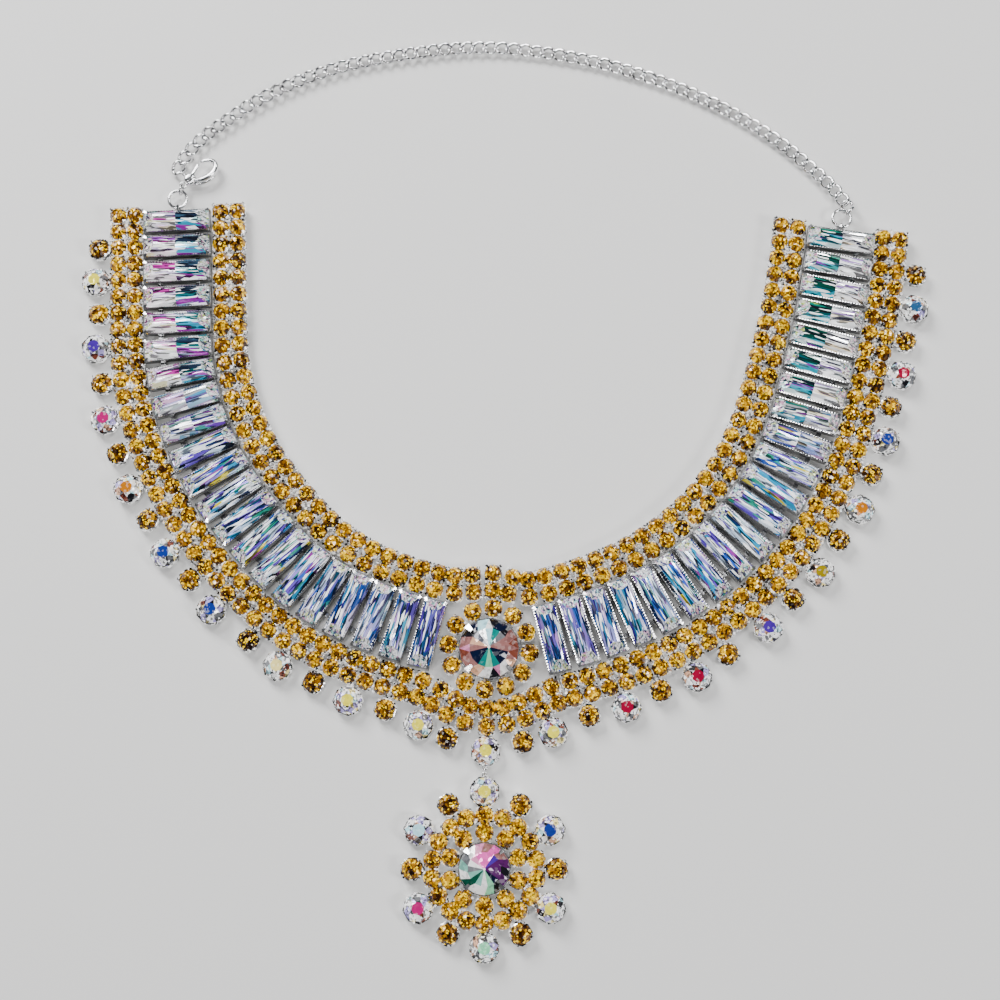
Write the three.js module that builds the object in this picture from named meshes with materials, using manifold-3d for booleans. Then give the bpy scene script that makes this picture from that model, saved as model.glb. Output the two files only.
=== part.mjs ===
// A bib necklace lying open on a table, in millimetres, +Z up, +Y towards the clasp and the chain.
// The origin is the middle of the back of the centre stone's setting, where the jewel rests.
import * as THREE from 'three';
import { mergeVertices } from 'three/addons/utils/BufferGeometryUtils.js';
import Module from 'manifold-3d';

const wasm = await Module();
wasm.setup();

// Play between pieces that are not soldered together
const clearance = 0.3;

// Baguette stones, side by side along the band, each in a tray setting
const baguettesPerSide = 21;
const baguetteLength = 14.5;
const baguetteWidth = 4.7;
const baguetteTrayHeight = 2.0;
const baguetteStoneHeight = 1.9;
const baguetteStepInset = 0.7;
const baguetteStepHeight = 1.1;
const baguetteTableInset = 1.45;
const baguetteEndSlope = 2.2;

// Ladder-shaped back frame under the baguettes: two strips that show between the stones, and rungs
const frameThickness = 0.7;
const frameStripWidth = 1.0;
const frameStripSpread = 8.2;
const frameSteps = 8;
const tabWidth = 1.6;

// Borders of round topaz stones in two rows, in a lattice of cups with open gaps between four stones
const cupPitch = 3.65;
const cupHeight = 1.8;
const stoneHeight = 1.4;
const stoneTable = 0.56;
const borderColumns = { inner: 61, outer: 81 };

// How far the borders run on past the ends of the band
const borderBeyond = 1.2;

// Centre stone in its claws, and the halo of twelve stones round it
const centreRadius = 6.45;
const centreSettingHeight = 2.6;
const centreStoneHeight = 2.9;
const haloStones = 12;
const haloDepth = 3.4;
const haloCupHeight = 2.3;
const centreBelowBand = 0.65;

// Border's bulge round the halo: how far along the band it reaches, as a share of the halo's own reach
const bulgeShare = 1.25;

// Drops under the outer border: clear and topaz ones by turns, out from the middle one
const topazDropRadius = 2.25;
const topazDropHeight = 2.7;
const crystalDropRadius = 2.95;
const crystalDropHeight = 3.3;
const dropCupHeight = 1.7;
const dropTable = 0.5;
const dropNeck = 0.15;

// Places of the drops on each side of the middle one, as shares of half the border's length: two
// close ones under the centre stone, then even steps
const DROP_SHARES = { close: [0.037, 0.074], firstEven: 0.138, lastEven: 0.944 };
const evenDrops = 17;

// Pendant: one stone, two rings of topaz stones and twelve drops
const pendantStoneRadius = 5.4;
const pendantSettingHeight = 2.4;
const pendantStoneHeight = 2.5;
const pendantRingDepth = 3.1;
const pendantInnerStones = 10;
const pendantOuterStones = 18;
const pendantDrops = 12;

// Pointed round stones: share of the radius and of the rise at each level above the setting's edge
const STONE_PROFILE = [
  { out: 0.93, up: 0.12 },
  { out: 0.5, up: 0.66 },
  { out: 0.12, up: 1 },
];
const stoneFacets = 12;

// Claws at the diagonals, as shares of the stone's radius and rise
const clawAngles = [45, 135, 225, 315];
const CLAW_SHARES = { inside: 0.76, outside: 0.985, tipHalfWidth: 0.055, footHalfWidth: 0.11, rise: 0.45 };

// Wire rings and loops: radius of the wire and radius of the ring at the middle of its wire
const endRingWire = 0.35;
const endRingRadius = 2.0;
const bailWire = 0.22;
const bailRadius = 0.75;
const claspRingWire = 0.22;
const linkWire = 0.15;
const linkRadius = 0.7;
const linkHole = 0.35;
const linkHoleWall = 0.2;
const linkLoopThickness = 0.5;
const loopDivisions = 4;
const wirePlay = 0.18;
const wireSides = 5;
const ringSides = 10;

// Lobster clasp: flat claw with a slot for the lever, which turns on a pin
const claspRingAngle = 72;
const claspAngle = 33;
const claspThickness = 1.9;
const eyeHole = 0.45;
const eyeWall = 0.45;
const eyeThickness = 1.0;
const clawCentre = new THREE.Vector2(5.0, 0.6);
const clawHalfLength = 3.75;
const clawHalfWidth = 2.25;
const clawWall = 1.0;
const clawHoleLength = 4.3;
const clawHoleShift = 0.55;
const clawDivisions = 10;
const claspNeck = { from: 0.3, to: 2.0, fromHalfWidth: 0.5, toHalfWidth: 0.9 };
const pivot = new THREE.Vector2(2.15, 0.75);
const pinRadius = 0.32;
const leverAngle = 28;
const leverSwing = 25;
const leverLength = 3.75;
const leverWidth = 0.8;
const leverHubRadius = 0.72;
const leverThickness = 0.55;
const leverThumb = 1.9;
const leverPlay = 0.2;
const gateReach = 3.0;
const discDivisions = 6;
const holeDivisions = 4;

// Curb chain as a tube of its outer width
const chainRadius = 1.1;
const chainSides = 8;
const chainSteps = 27;

// Route of the chain, chosen by hand, from the ring at the right to the free end beside the clasp
const CHAIN_ROUTE = [
  [78.8, 97.8], [77.5, 99.9], [75.4, 102.8], [72.1, 106.2], [64.8, 112.9], [55.5, 119.4],
  [45.7, 124.7], [35.1, 129.1], [24.1, 132.5], [12.7, 134.8], [2.0, 136.0], [-8.9, 135.8],
  [-20.1, 134.3], [-31.3, 132.0],
  [-41.9, 128.4], [-51.8, 123.3], [-58.5, 118.5], [-63.2, 114.8], [-66.9, 110.7], [-69.0, 107.0],
  [-70.0, 104.6],
];

// Bends of the band from the clasp end on: share of its length, turn to the left in degrees
const BENDS = [
  { share: 0.105, turn: 0 },
  { share: 0.156, turn: 34.2 },
  { share: 0.055, turn: 7.8 },
  { share: 0.092, turn: 25.1 },
  { share: 0.075, turn: 9.4 },
  { share: 0.054, turn: 23.0, underHalo: true },
  { share: 0.081, turn: 11.5 },
  { share: 0.215, turn: 48.7 },
  { share: 0.065, turn: 2.9 },
  { share: 0.102, turn: 7.2 },
];
const firstHeading = -87.25;

const { cos, sin, PI, abs, min, max } = Math;
const radians = THREE.MathUtils.degToRad;

// Metals and stones
const silver = { color: 0xd6d8da, roughness: 0.25, metalness: 1 };
const topaz = { color: 0xd98a12, roughness: 0.15, metalness: 0.2 };
const crystal = { color: 0xcfd8ea, roughness: 0.1, metalness: 0.2 };
const rivoli = { color: 0xb99aa8, roughness: 0.1, metalness: 0.2 };

const necklace = new THREE.Group();

function addPiece(name, geometry, finish) {
  const mesh = new THREE.Mesh(geometry, new THREE.MeshStandardMaterial(finish));
  mesh.name = name;
  necklace.add(mesh);
}

// Sizes that follow from the driving ones
const outerReach = baguetteLength / 2 + clearance;
const borderOffset = outerReach + cupPitch;
const haloRadius = centreRadius + clearance + haloDepth / 2;
const haloReach = haloRadius + haloDepth / 2 + clearance;
const eyeRadius = eyeHole + eyeWall;
const settingSpacing = baguetteSpacing();
const sideRun = baguettesPerSide * settingSpacing;
const centreRun = 2 * (haloReach + clearance) - (settingSpacing - baguetteWidth);
const bandLength = 2 * sideRun + centreRun;
const centreDistance = sideRun + centreRun / 2;
const borderBulge = haloReach + cupPitch - borderOffset;
const bulgeReach = bulgeShare * haloReach;

// The clasp ring crosses inside the end ring and comes up through the clasp's eye
const claspRingCrossing = endRingRadius * cos(PI / ringSides) - endRingWire - wirePlay - claspRingWire;
const claspRingRadius = (endRingRadius + endRingWire + wirePlay + eyeRadius - claspRingCrossing) / 2;
const wireHeight = claspRingRadius + claspRingWire + wirePlay / 2;

// Spacing that still clears the inner ends of the baguettes where the band turns most per stone
function baguetteSpacing() {
  const beside = BENDS.filter((bend) => !bend.underHalo);
  const sharpest = max(...beside.map((bend) => radians(bend.turn) / bend.share));
  return baguetteWidth + clearance + (baguetteLength / 2) * sharpest / (2 * baguettesPerSide);
}

// Place and heading on the band's middle line, before it is moved to the origin
function bandLine(distance) {
  const place = new THREE.Vector2();
  let heading = radians(firstHeading);
  let start = 0;
  for (const { share, turn } of BENDS) {
    const length = share * bandLength;
    const run = min(distance - start, length);
    const angle = radians(turn) * run / length;
    const chord = abs(angle) < 1e-9 ? run : 2 * run / angle * sin(angle / 2);
    place.x += chord * cos(heading + angle / 2);
    place.y += chord * sin(heading + angle / 2);
    heading += angle;
    start += length;
    if (distance <= start) return frameFrom(place, heading);
  }
  place.x += (distance - start) * cos(heading);
  place.y += (distance - start) * sin(heading);
  return frameFrom(place, heading);
}

// A frame on a line: its point, the direction ahead and the direction to the left
function frameFrom(point, heading) {
  const ahead = new THREE.Vector2(cos(heading), sin(heading));
  return { point, ahead, left: new THREE.Vector2(-ahead.y, ahead.x), heading };
}

function at(frame, ahead, left) {
  return frame.point.clone().addScaledVector(frame.ahead, ahead).addScaledVector(frame.left, left);
}

const centreShift = at(bandLine(centreDistance), 0, -centreBelowBand);

function bandFrame(distance) {
  const frame = bandLine(distance);
  frame.point.sub(centreShift);
  return frame;
}

// Middle line of a border: beside the band, and bulging round the halo at the centre
class BorderLine extends THREE.Curve {
  constructor(side) {
    super();
    this.side = side;
    this.arcLengthDivisions = 1500;
  }

  getPoint(share) {
    const distance = share * (bandLength + 2 * borderBeyond) - borderBeyond;
    const frame = bandFrame(distance);
    const away = min(abs(distance - centreDistance) / bulgeReach, 1);
    const bulge = (borderBulge - this.side * centreBelowBand) * (1 + cos(PI * away)) / 2;
    const place = at(frame, 0, this.side * (borderOffset + bulge));
    return new THREE.Vector3(place.x, place.y, 0);
  }
}

function frameOnLine(line, share) {
  const point = line.getPointAt(share);
  const tangent = line.getTangentAt(share);
  return frameFrom(new THREE.Vector2(point.x, point.y), Math.atan2(tangent.y, tangent.x));
}

// Loose triangles of a closed solid, counter-clockwise seen from outside
class Facets {
  constructor() {
    this.corners = [];
  }

  fan(points) {
    for (let i = 1; i + 1 < points.length; i += 1) {
      this.corners.push(points[0], points[i], points[i + 1]);
    }
  }

  // Upright wall on a line whose outside lies to its right
  wall(from, to, low, highFrom, highTo = highFrom) {
    this.fan([lift(from, low), lift(to, low), lift(to, highTo), lift(from, highFrom)]);
  }

  // Flat prism over a counter-clockwise outline
  prism(outline, low, high) {
    this.fan(outline.map((point) => lift(point, high)));
    this.fan(outline.map((point) => lift(point, low)).reverse());
    outline.forEach((point, i) => this.wall(point, outline[(i + 1) % outline.length], low, high));
  }

  geometry() {
    const geometry = new THREE.BufferGeometry().setFromPoints(this.corners);
    return mergeVertices(geometry, 1e-4);
  }
}

function lift(point, height) {
  return new THREE.Vector3(point.x, point.y, height);
}

function toSolid(geometry) {
  const bare = geometry.clone();
  bare.deleteAttribute('normal');
  bare.deleteAttribute('uv');
  const merged = mergeVertices(bare, 1e-4);
  const vertProperties = merged.attributes.position.array;
  const triVerts = new Uint32Array(merged.index.array);
  return new wasm.Manifold(new wasm.Mesh({ numProp: 3, vertProperties, triVerts }));
}

function toGeometry(solid) {
  const { vertProperties, triVerts } = solid.getMesh();
  const geometry = new THREE.BufferGeometry();
  geometry.setAttribute('position', new THREE.BufferAttribute(vertProperties, 3));
  return geometry.setIndex(new THREE.BufferAttribute(triVerts, 1));
}

function joined(...geometries) {
  return toGeometry(geometries.map(toSolid).reduce((whole, solid) => whole.add(solid)));
}

// Share of an octagon's side in its width
const octagonShare = (Math.SQRT2 - 1) / 2;

// Crown of a cut stone: facets from the octagonal rim up to a square or eight-sided table
function addCrown(facets, rim, rimHeight, tableShare, tableHeight, tableCorners) {
  const centre = new THREE.Vector2();
  rim.forEach((point) => centre.addScaledVector(point, 1 / rim.length));
  const inward = (point) => lift(centre.clone().lerp(point, tableShare), tableHeight);
  const edge = rim.map((point) => lift(point, rimHeight));
  const next = (i) => (i + 1) % rim.length;
  if (tableCorners === rim.length) {
    const table = rim.map(inward);
    rim.forEach((point, i) => facets.fan([edge[i], edge[next(i)], table[next(i)], table[i]]));
    facets.fan(table);
    return;
  }
  const middles = [0, 2, 4, 6].map((i) => rim[i].clone().lerp(rim[i + 1], 0.5));
  const table = middles.map(inward);
  table.forEach((corner, i) => {
    const after = table[(i + 1) % table.length];
    facets.fan([edge[2 * i], edge[2 * i + 1], corner]);
    facets.fan([edge[2 * i + 1], edge[next(2 * i + 1)], after, corner]);
  });
  facets.fan(table);
}

// Kinds of drop
const TOPAZ_DROP = { radius: topazDropRadius, top: topazDropHeight, tableCorners: 4 };
const CRYSTAL_DROP = { radius: crystalDropRadius, top: crystalDropHeight, tableCorners: 8 };

// Band of stones in cups that share their side walls. frameAt gives the frame at each half column,
// rows the middle of each row to the left, drops what hangs from the outer row: { halfColumn, kind }.
function stoneBand({ frameAt, columns, rows, depth, height, rise, closed = false, drops = [] }) {
  const facets = new Facets();
  const halfDepth = depth / 2;
  const sideEdge = octagonShare * depth;
  const boundary = (column, left) => at(frameAt(2 * column), 0, left);
  const cap = (column, way, left) => {
    const width = boundary(column, left).distanceTo(boundary(column + 1, left));
    return at(frameAt(2 * column + 1), way * octagonShare * width, left);
  };
  const outer = rows[rows.length - 1];
  const hung = new Set();
  for (const { halfColumn, kind } of drops) hangDrop(halfColumn, kind);
  for (let column = 0; column < columns; column += 1) rows.forEach((row) => addCup(column, row));
  return facets.geometry();

  function addCup(column, row) {
    const right = [boundary(column + 1, row - sideEdge), boundary(column + 1, row + sideEdge)];
    const inner = [cap(column, 1, row + halfDepth), cap(column, -1, row + halfDepth)];
    const left = [boundary(column, row + sideEdge), boundary(column, row - sideEdge)];
    const lower = [cap(column, -1, row - halfDepth), cap(column, 1, row - halfDepth)];
    const rim = [...right, ...inner, ...left, ...lower];
    const open = [
      !closed && column === columns - 1, true, row === rows[0], true,
      !closed && column === 0, true, row === outer, true,
    ];
    open.forEach((isOpen, i) => {
      const taken = row === outer && hung.has(`${column}:${i}`);
      if (isOpen && !taken) facets.wall(rim[i], rim[(i + 1) % 8], 0, height);
    });
    facets.fan([...rim].reverse().map((point) => lift(point, 0)));
    addCrown(facets, rim, height, stoneTable, height + rise, 4);
  }

  // A drop under a cup, or under the notch between two cups, joined to it by a short neck
  function hangDrop(halfColumn, { radius, top, tableCorners }) {
    const column = Math.floor(halfColumn / 2) - (halfColumn % 2 === 0 ? 1 : 0);
    const next = (column + 1) % columns;
    const edge = outer - halfDepth;
    const notch = boundary(column + 1, outer - sideEdge);
    const isUnderCup = halfColumn % 2 === 1;
    const seat = isUnderCup
      ? [cap(column, 1, edge), cap(column, -1, edge)]
      : [cap(next, -1, edge), notch, cap(column, 1, edge)];
    const edges = isUnderCup ? [`${column}:6`] : [`${column}:7`, `${next}:5`];
    edges.forEach((name) => hung.add(name));
    const rim = dropRim(frameAt(halfColumn), edge - dropNeck - radius, radius);
    rim.forEach((point, i) => {
      if (i !== 2) facets.wall(point, rim[(i + 1) % 8], 0, dropCupHeight);
    });
    facets.fan([...rim].reverse().map((point) => lift(point, 0)));
    addCrown(facets, rim, dropCupHeight, dropTable, top, tableCorners);
    addNeck(seat, rim[2], rim[3]);
  }

  function addNeck(seat, near, far) {
    const middle = Math.floor(seat.length / 2);
    const outline = [...seat.slice(middle), far, near, ...seat.slice(0, middle)];
    const heightOf = (point) => (point === near || point === far ? dropCupHeight : height);
    facets.fan(outline.map((point) => lift(point, heightOf(point))));
    const [first, ...rest] = outline;
    facets.fan([first, ...rest.reverse()].map((point) => lift(point, 0)));
    facets.wall(near, seat[0], 0, dropCupHeight, height);
    facets.wall(seat[seat.length - 1], far, 0, height, dropCupHeight);
  }
}

// Octagonal rim of a drop, its third side turned to the band
function dropRim(frame, left, radius) {
  const side = 2 * radius * octagonShare;
  const corners = [
    [radius, -side], [radius, side], [side, radius], [-side, radius],
    [-radius, side], [-radius, -side], [-side, -radius], [side, -radius],
  ];
  return corners.map(([ahead, up]) => at(frame, ahead, left + up));
}

// Baguettes: stepped crown over a rectangular tray
function baguetteGeometry(frame) {
  const facets = new Facets();
  const base = frameThickness + clearance;
  const rimHeight = base + baguetteTrayHeight;
  const outline = (sideInset, endInset) => {
    const x = baguetteWidth / 2 - sideInset;
    const y = baguetteLength / 2 - endInset;
    return [[x, -y], [x, y], [-x, y], [-x, -y]].map(([ahead, left]) => at(frame, ahead, left));
  };
  const stepHeight = rimHeight + baguetteStepHeight;
  const tableHeight = rimHeight + baguetteStoneHeight;
  const rim = { ring: outline(0, 0), height: rimHeight };
  const step = { ring: outline(baguetteStepInset, baguetteEndSlope / 2), height: stepHeight };
  const table = { ring: outline(baguetteTableInset, baguetteEndSlope), height: tableHeight };
  rim.ring.forEach((point, i) => facets.wall(point, rim.ring[(i + 1) % 4], base, rimHeight));
  facets.fan([...rim.ring].reverse().map((point) => lift(point, base)));
  for (const [low, high] of [[rim, step], [step, table]]) {
    low.ring.forEach((point, i) => {
      const next = (i + 1) % 4;
      const lower = [lift(point, low.height), lift(low.ring[next], low.height)];
      facets.fan([...lower, lift(high.ring[next], high.height), lift(high.ring[i], high.height)]);
    });
  }
  facets.fan(table.ring.map((point) => lift(point, table.height)));
  return facets.geometry();
}

function addBaguettes(side, start) {
  for (let i = 0; i < baguettesPerSide; i += 1) {
    const number = String(i + 1).padStart(2, '0');
    const frame = bandFrame(start + (i + 0.5) * settingSpacing);
    addPiece(`baguette_${side}_${number}`, baguetteGeometry(frame), crystal);
  }
}

addBaguettes('left', 0);
addBaguettes('right', sideRun + centreRun);

// Back frame: two strips with a rung at each end, and a tab with an upright bail for the end ring
function ladderGeometry(from, to) {
  const facets = new Facets();
  const middle = (i) => from + frameStripWidth + (to - from - 2 * frameStripWidth) * i / frameSteps;
  const stations = [from, ...Array.from({ length: frameSteps + 1 }, (_, i) => middle(i)), to];
  const outside = (frameStripSpread + frameStripWidth) / 2;
  const inside = (frameStripSpread - frameStripWidth) / 2;
  const lefts = [-outside, -inside, inside, outside];
  const corner = (i, j) => at(bandFrame(stations[i]), 0, lefts[j]);
  const last = stations.length - 2;
  const isInside = (i, j) => i >= 0 && i <= last && j >= 0 && j <= 2;
  const isMetal = (i, j) => isInside(i, j) && (j !== 1 || i === 0 || i === last);
  for (let i = 0; i <= last; i += 1) {
    for (let j = 0; j <= 2; j += 1) {
      if (!isMetal(i, j)) continue;
      const cell = [corner(i, j), corner(i + 1, j), corner(i + 1, j + 1), corner(i, j + 1)];
      facets.fan(cell.map((point) => lift(point, frameThickness)));
      facets.fan([...cell].reverse().map((point) => lift(point, 0)));
      const beyond = [[i, j - 1], [i + 1, j], [i, j + 1], [i - 1, j]];
      beyond.forEach(([column, row], k) => {
        if (!isMetal(column, row)) facets.wall(cell[k], cell[(k + 1) % 4], 0, frameThickness);
      });
    }
  }
  return facets.geometry();
}

// Distance past the band's end at which the end ring's wire crosses the bail
const bailBeyond = bailRadius + bailWire + clearance - (settingSpacing - baguetteWidth) / 2;

function tabGeometry(distance, way) {
  const facets = new Facets();
  const frame = bandFrame(distance);
  const near = way * (frameStripWidth + settingSpacing) / 2;
  const far = -way * (bailBeyond + bailRadius / 2);
  const [low, high] = [min(near, far), max(near, far)];
  const half = tabWidth / 2;
  const corners = [[low, -half], [high, -half], [high, half], [low, half]];
  facets.prism(corners.map(([ahead, left]) => at(frame, ahead, left)), 0, frameThickness);
  return facets.geometry();
}

// Ring of round wire: about Z where it lies flat, or upright in the plane of a heading
function ringGeometry(place, radius, wire, uprightHeading = null) {
  const ring = new THREE.TorusGeometry(radius, wire, wireSides, ringSides);
  if (uprightHeading !== null) ring.rotateX(PI / 2).rotateZ(uprightHeading);
  return ring.translate(place.x, place.y, wireHeight);
}

function backFrame(from, to, end, way) {
  const frame = bandFrame(end);
  const bail = ringGeometry(at(frame, -way * bailBeyond, 0), bailRadius, bailWire, frame.heading);
  return joined(ladderGeometry(from, to), tabGeometry(end, way), bail);
}

const frameInset = (settingSpacing - baguetteWidth) / 2 + clearance;
addPiece('back_frame_left', backFrame(frameInset, sideRun - frameInset, 0, 1), silver);
addPiece('back_frame_right',
  backFrame(sideRun + centreRun + frameInset, bandLength - frameInset, bandLength, -1), silver);

// Whole columns in each border, and the one that its middle stone stands in
const innerColumns = Math.round(borderColumns.inner);
const outerColumns = Math.round(borderColumns.outer);
const innerMiddle = Math.floor((innerColumns - 1) / 2);
const outerMiddle = Math.floor((outerColumns - 1) / 2);

// Half columns between the middle drop and each drop beside it
function dropSteps() {
  const { close, firstEven, lastEven } = DROP_SHARES;
  const step = (lastEven - firstEven) / (evenDrops - 1);
  const even = Array.from({ length: evenDrops }, (_, n) => firstEven + n * step);
  return [...close, ...even].map((share) => Math.round(share * outerColumns));
}

// Drops of the outer border from one column up to another, by turns clear and topaz
function outerDrops(firstColumn, lastColumn) {
  const middle = 2 * outerMiddle + 1;
  const drops = [{ halfColumn: middle, kind: CRYSTAL_DROP }];
  dropSteps().forEach((step, n) => {
    const kind = n % 2 === 0 ? TOPAZ_DROP : CRYSTAL_DROP;
    drops.push({ halfColumn: middle - step, kind }, { halfColumn: middle + step, kind });
  });
  return drops
    .filter(({ halfColumn }) => halfColumn > 2 * firstColumn && halfColumn < 2 * lastColumn)
    .map(({ halfColumn, kind }) => ({ halfColumn: halfColumn - 2 * firstColumn, kind }));
}

// One half of a border, from one column up to another, with play where the two halves meet
const outerLine = new BorderLine(-1);
const innerLine = new BorderLine(1);

function borderHalf(line, total, firstColumn, lastColumn, drops = []) {
  const play = clearance / 2 / line.getLength();
  const from = firstColumn / total + (firstColumn > 0 ? play : 0);
  const to = lastColumn / total - (lastColumn < total ? play : 0);
  const columns = lastColumn - firstColumn;
  const frameAt = (i) => frameOnLine(line, from + (to - from) * i / (2 * columns));
  return stoneBand({
    frameAt,
    columns,
    rows: [cupPitch / 2, -cupPitch / 2],
    depth: cupPitch,
    height: cupHeight,
    rise: stoneHeight,
    drops,
  });
}

addPiece('inner_border_left', borderHalf(innerLine, innerColumns, 0, innerMiddle), topaz);
addPiece('inner_border_right',
  borderHalf(innerLine, innerColumns, innerMiddle, innerColumns), topaz);
addPiece('outer_border_left',
  borderHalf(outerLine, outerColumns, 0, outerMiddle, outerDrops(0, outerMiddle)), topaz);

// Flat piece at the height of the wire rings
function flatPiece(shape, thickness, curveSegments) {
  const options = { depth: thickness, bevelEnabled: false, curveSegments };
  return new THREE.ExtrudeGeometry(shape, options).translate(0, 0, wireHeight - thickness / 2);
}

// Small flat loop that the pendant's link passes through
function loopGeometry(place) {
  const shape = new THREE.Shape().absarc(0, 0, linkHole + linkHoleWall, 0, 2 * PI);
  shape.holes.push(new THREE.Path().absarc(0, 0, linkHole, 0, 2 * PI));
  return flatPiece(shape, linkLoopThickness, loopDivisions).translate(place.x, place.y, 0);
}

// The centre drop carries the pendant straight below it
const centreFrame = frameOnLine(outerLine, (outerMiddle + 0.5) / outerColumns);
const centreDrop = at(centreFrame, 0, -cupPitch - dropNeck - crystalDropRadius);
const loopReach = crystalDropRadius + linkHole + 0.5 * linkHoleWall;
const upperLoop = centreDrop.clone().add(new THREE.Vector2(0, -loopReach));
const lowerLoop = upperLoop.clone().add(new THREE.Vector2(0, -2 * linkRadius));
const outerRight = borderHalf(outerLine, outerColumns, outerMiddle, outerColumns,
  outerDrops(outerMiddle, outerColumns));
addPiece('outer_border_right', joined(outerRight, loopGeometry(upperLoop)), topaz);

// Ring of stones in cups round a centre; drops hang outwards from it
function stoneRing({ centre, radius, stones, depth, height, firstAngle, drops }) {
  const frameAt = (i) => {
    const angle = radians(firstAngle) + (i % (2 * stones)) * PI / stones;
    const point = new THREE.Vector2(cos(angle), sin(angle)).multiplyScalar(radius).add(centre);
    return frameFrom(point, angle + PI / 2);
  };
  return stoneBand({
    frameAt,
    columns: stones,
    rows: [0],
    depth,
    height,
    rise: stoneHeight,
    closed: true,
    drops,
  });
}

// Pointed round stone over its setting, as a turned profile with flat facets and a small table
function roundStone(radius, settingHeight, stoneRise) {
  const levels = STONE_PROFILE.map(({ out, up }) => [out * radius, settingHeight + up * stoneRise]);
  const top = settingHeight + stoneRise;
  const profile = [[0, 0], [radius, 0], [radius, settingHeight], ...levels, [0, top]];
  const points = profile.map(([x, z]) => new THREE.Vector2(x, z));
  return new THREE.LatheGeometry(points, stoneFacets).rotateX(PI / 2);
}

// Claw that folds over the stone's edge at an angle round it
function clawGeometry(radius, angle, low, high) {
  const { inside, outside, tipHalfWidth, footHalfWidth } = CLAW_SHARES;
  const facets = new Facets();
  const frame = frameFrom(new THREE.Vector2(), radians(angle));
  const corners = [
    [inside, -tipHalfWidth],
    [outside, -footHalfWidth],
    [outside, footHalfWidth],
    [inside, tipHalfWidth],
  ];
  facets.prism(corners.map(([out, side]) => at(frame, out * radius, side * radius)), low, high);
  return facets.geometry();
}

function clawedStone(radius, settingHeight, stoneRise) {
  const high = settingHeight + CLAW_SHARES.rise * stoneRise;
  const claws = clawAngles.map((angle) => clawGeometry(radius, angle, settingHeight / 2, high));
  return joined(roundStone(radius, settingHeight, stoneRise), ...claws);
}

addPiece('centre_stone', clawedStone(centreRadius, centreSettingHeight, centreStoneHeight), rivoli);
addPiece('centre_halo', stoneRing({
  centre: new THREE.Vector2(),
  radius: haloRadius,
  stones: haloStones,
  depth: haloDepth,
  height: haloCupHeight,
  firstAngle: 69,
}), topaz);

// Pendant, hung from the centre drop by an upright link through two loops
const innerRingRadius = pendantStoneRadius + clearance + pendantRingDepth / 2;
const outerRingRadius = innerRingRadius + pendantRingDepth + clearance;
const dropRow = outerRingRadius + pendantRingDepth / 2 + dropNeck + crystalDropRadius;
const pendantCentre = lowerLoop.clone().add(new THREE.Vector2(0, -loopReach - dropRow));
const pendantHang = Array.from({ length: pendantDrops }, (_, n) => ({
  halfColumn: 1 + n * 2 * pendantOuterStones / pendantDrops,
  kind: n % 2 === 0 ? CRYSTAL_DROP : TOPAZ_DROP,
}));
const pendantRing = { centre: pendantCentre, depth: pendantRingDepth, height: cupHeight };
const outerRing = stoneRing({
  ...pendantRing,
  radius: outerRingRadius,
  stones: pendantOuterStones,
  firstAngle: 90 - 180 / pendantOuterStones,
  drops: pendantHang,
});
const pendantStone = clawedStone(pendantStoneRadius, pendantSettingHeight, pendantStoneHeight);
addPiece('pendant_stone', pendantStone.translate(pendantCentre.x, pendantCentre.y, 0), rivoli);
addPiece('pendant_inner_ring', stoneRing({
  ...pendantRing,
  radius: innerRingRadius,
  stones: pendantInnerStones,
  firstAngle: 90 - 180 / pendantInnerStones,
}), topaz);
addPiece('pendant_outer_ring', joined(outerRing, loopGeometry(lowerLoop)), topaz);
const linkPlace = upperLoop.clone().lerp(lowerLoop, 0.5);
addPiece('pendant_link', ringGeometry(linkPlace, linkRadius, linkWire, PI / 2), silver);

// End rings, lying flat through the bails
const endRingBeyond = bailBeyond + endRingRadius;
const leftRing = at(bandFrame(0), -endRingBeyond, 0);
const rightRing = at(bandFrame(bandLength), endRingBeyond, 0);
addPiece('end_ring_left', ringGeometry(leftRing, endRingRadius, endRingWire), silver);
addPiece('end_ring_right', ringGeometry(rightRing, endRingRadius, endRingWire), silver);

// Small upright ring between the left end ring and the clasp's eye
const claspFrame = frameFrom(leftRing, radians(claspRingAngle));
const claspRingPlace = at(claspFrame, claspRingCrossing + claspRingRadius, 0);
const eyePlace = at(claspFrame, claspRingCrossing + 2 * claspRingRadius, 0);
addPiece('clasp_ring',
  ringGeometry(claspRingPlace, claspRingRadius, claspRingWire, claspFrame.heading), silver);

// The clasp is drawn with its eye at the origin and its tip along +X, then turned into place
function disc(centre, radius, thickness, divisions) {
  const circle = new THREE.Shape().absarc(centre.x, centre.y, radius, 0, 2 * PI);
  return toSolid(flatPiece(circle, thickness, divisions));
}

// Bar from the pivot along an angle: how far it runs ahead and to its left
function bar(angle, aheadFrom, aheadTo, leftFrom, leftTo, thickness) {
  const frame = frameFrom(pivot, radians(angle));
  const corners = [[aheadFrom, leftFrom], [aheadTo, leftFrom], [aheadTo, leftTo], [aheadFrom, leftTo]];
  const outline = new THREE.Shape(corners.map(([ahead, left]) => at(frame, ahead, left)));
  return toSolid(flatPiece(outline, thickness));
}

function claspRim() {
  const { x, y } = clawCentre;
  const claw = new THREE.Shape().absellipse(x, y, clawHalfLength, clawHalfWidth, 0, 2 * PI);
  const holeWidth = clawHalfWidth - clawWall;
  const hole = new THREE.Path();
  hole.absellipse(x + clawHoleShift, y, clawHoleLength / 2, holeWidth, 0, 2 * PI);
  claw.holes.push(hole);
  return toSolid(flatPiece(claw, claspThickness, clawDivisions));
}

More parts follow.
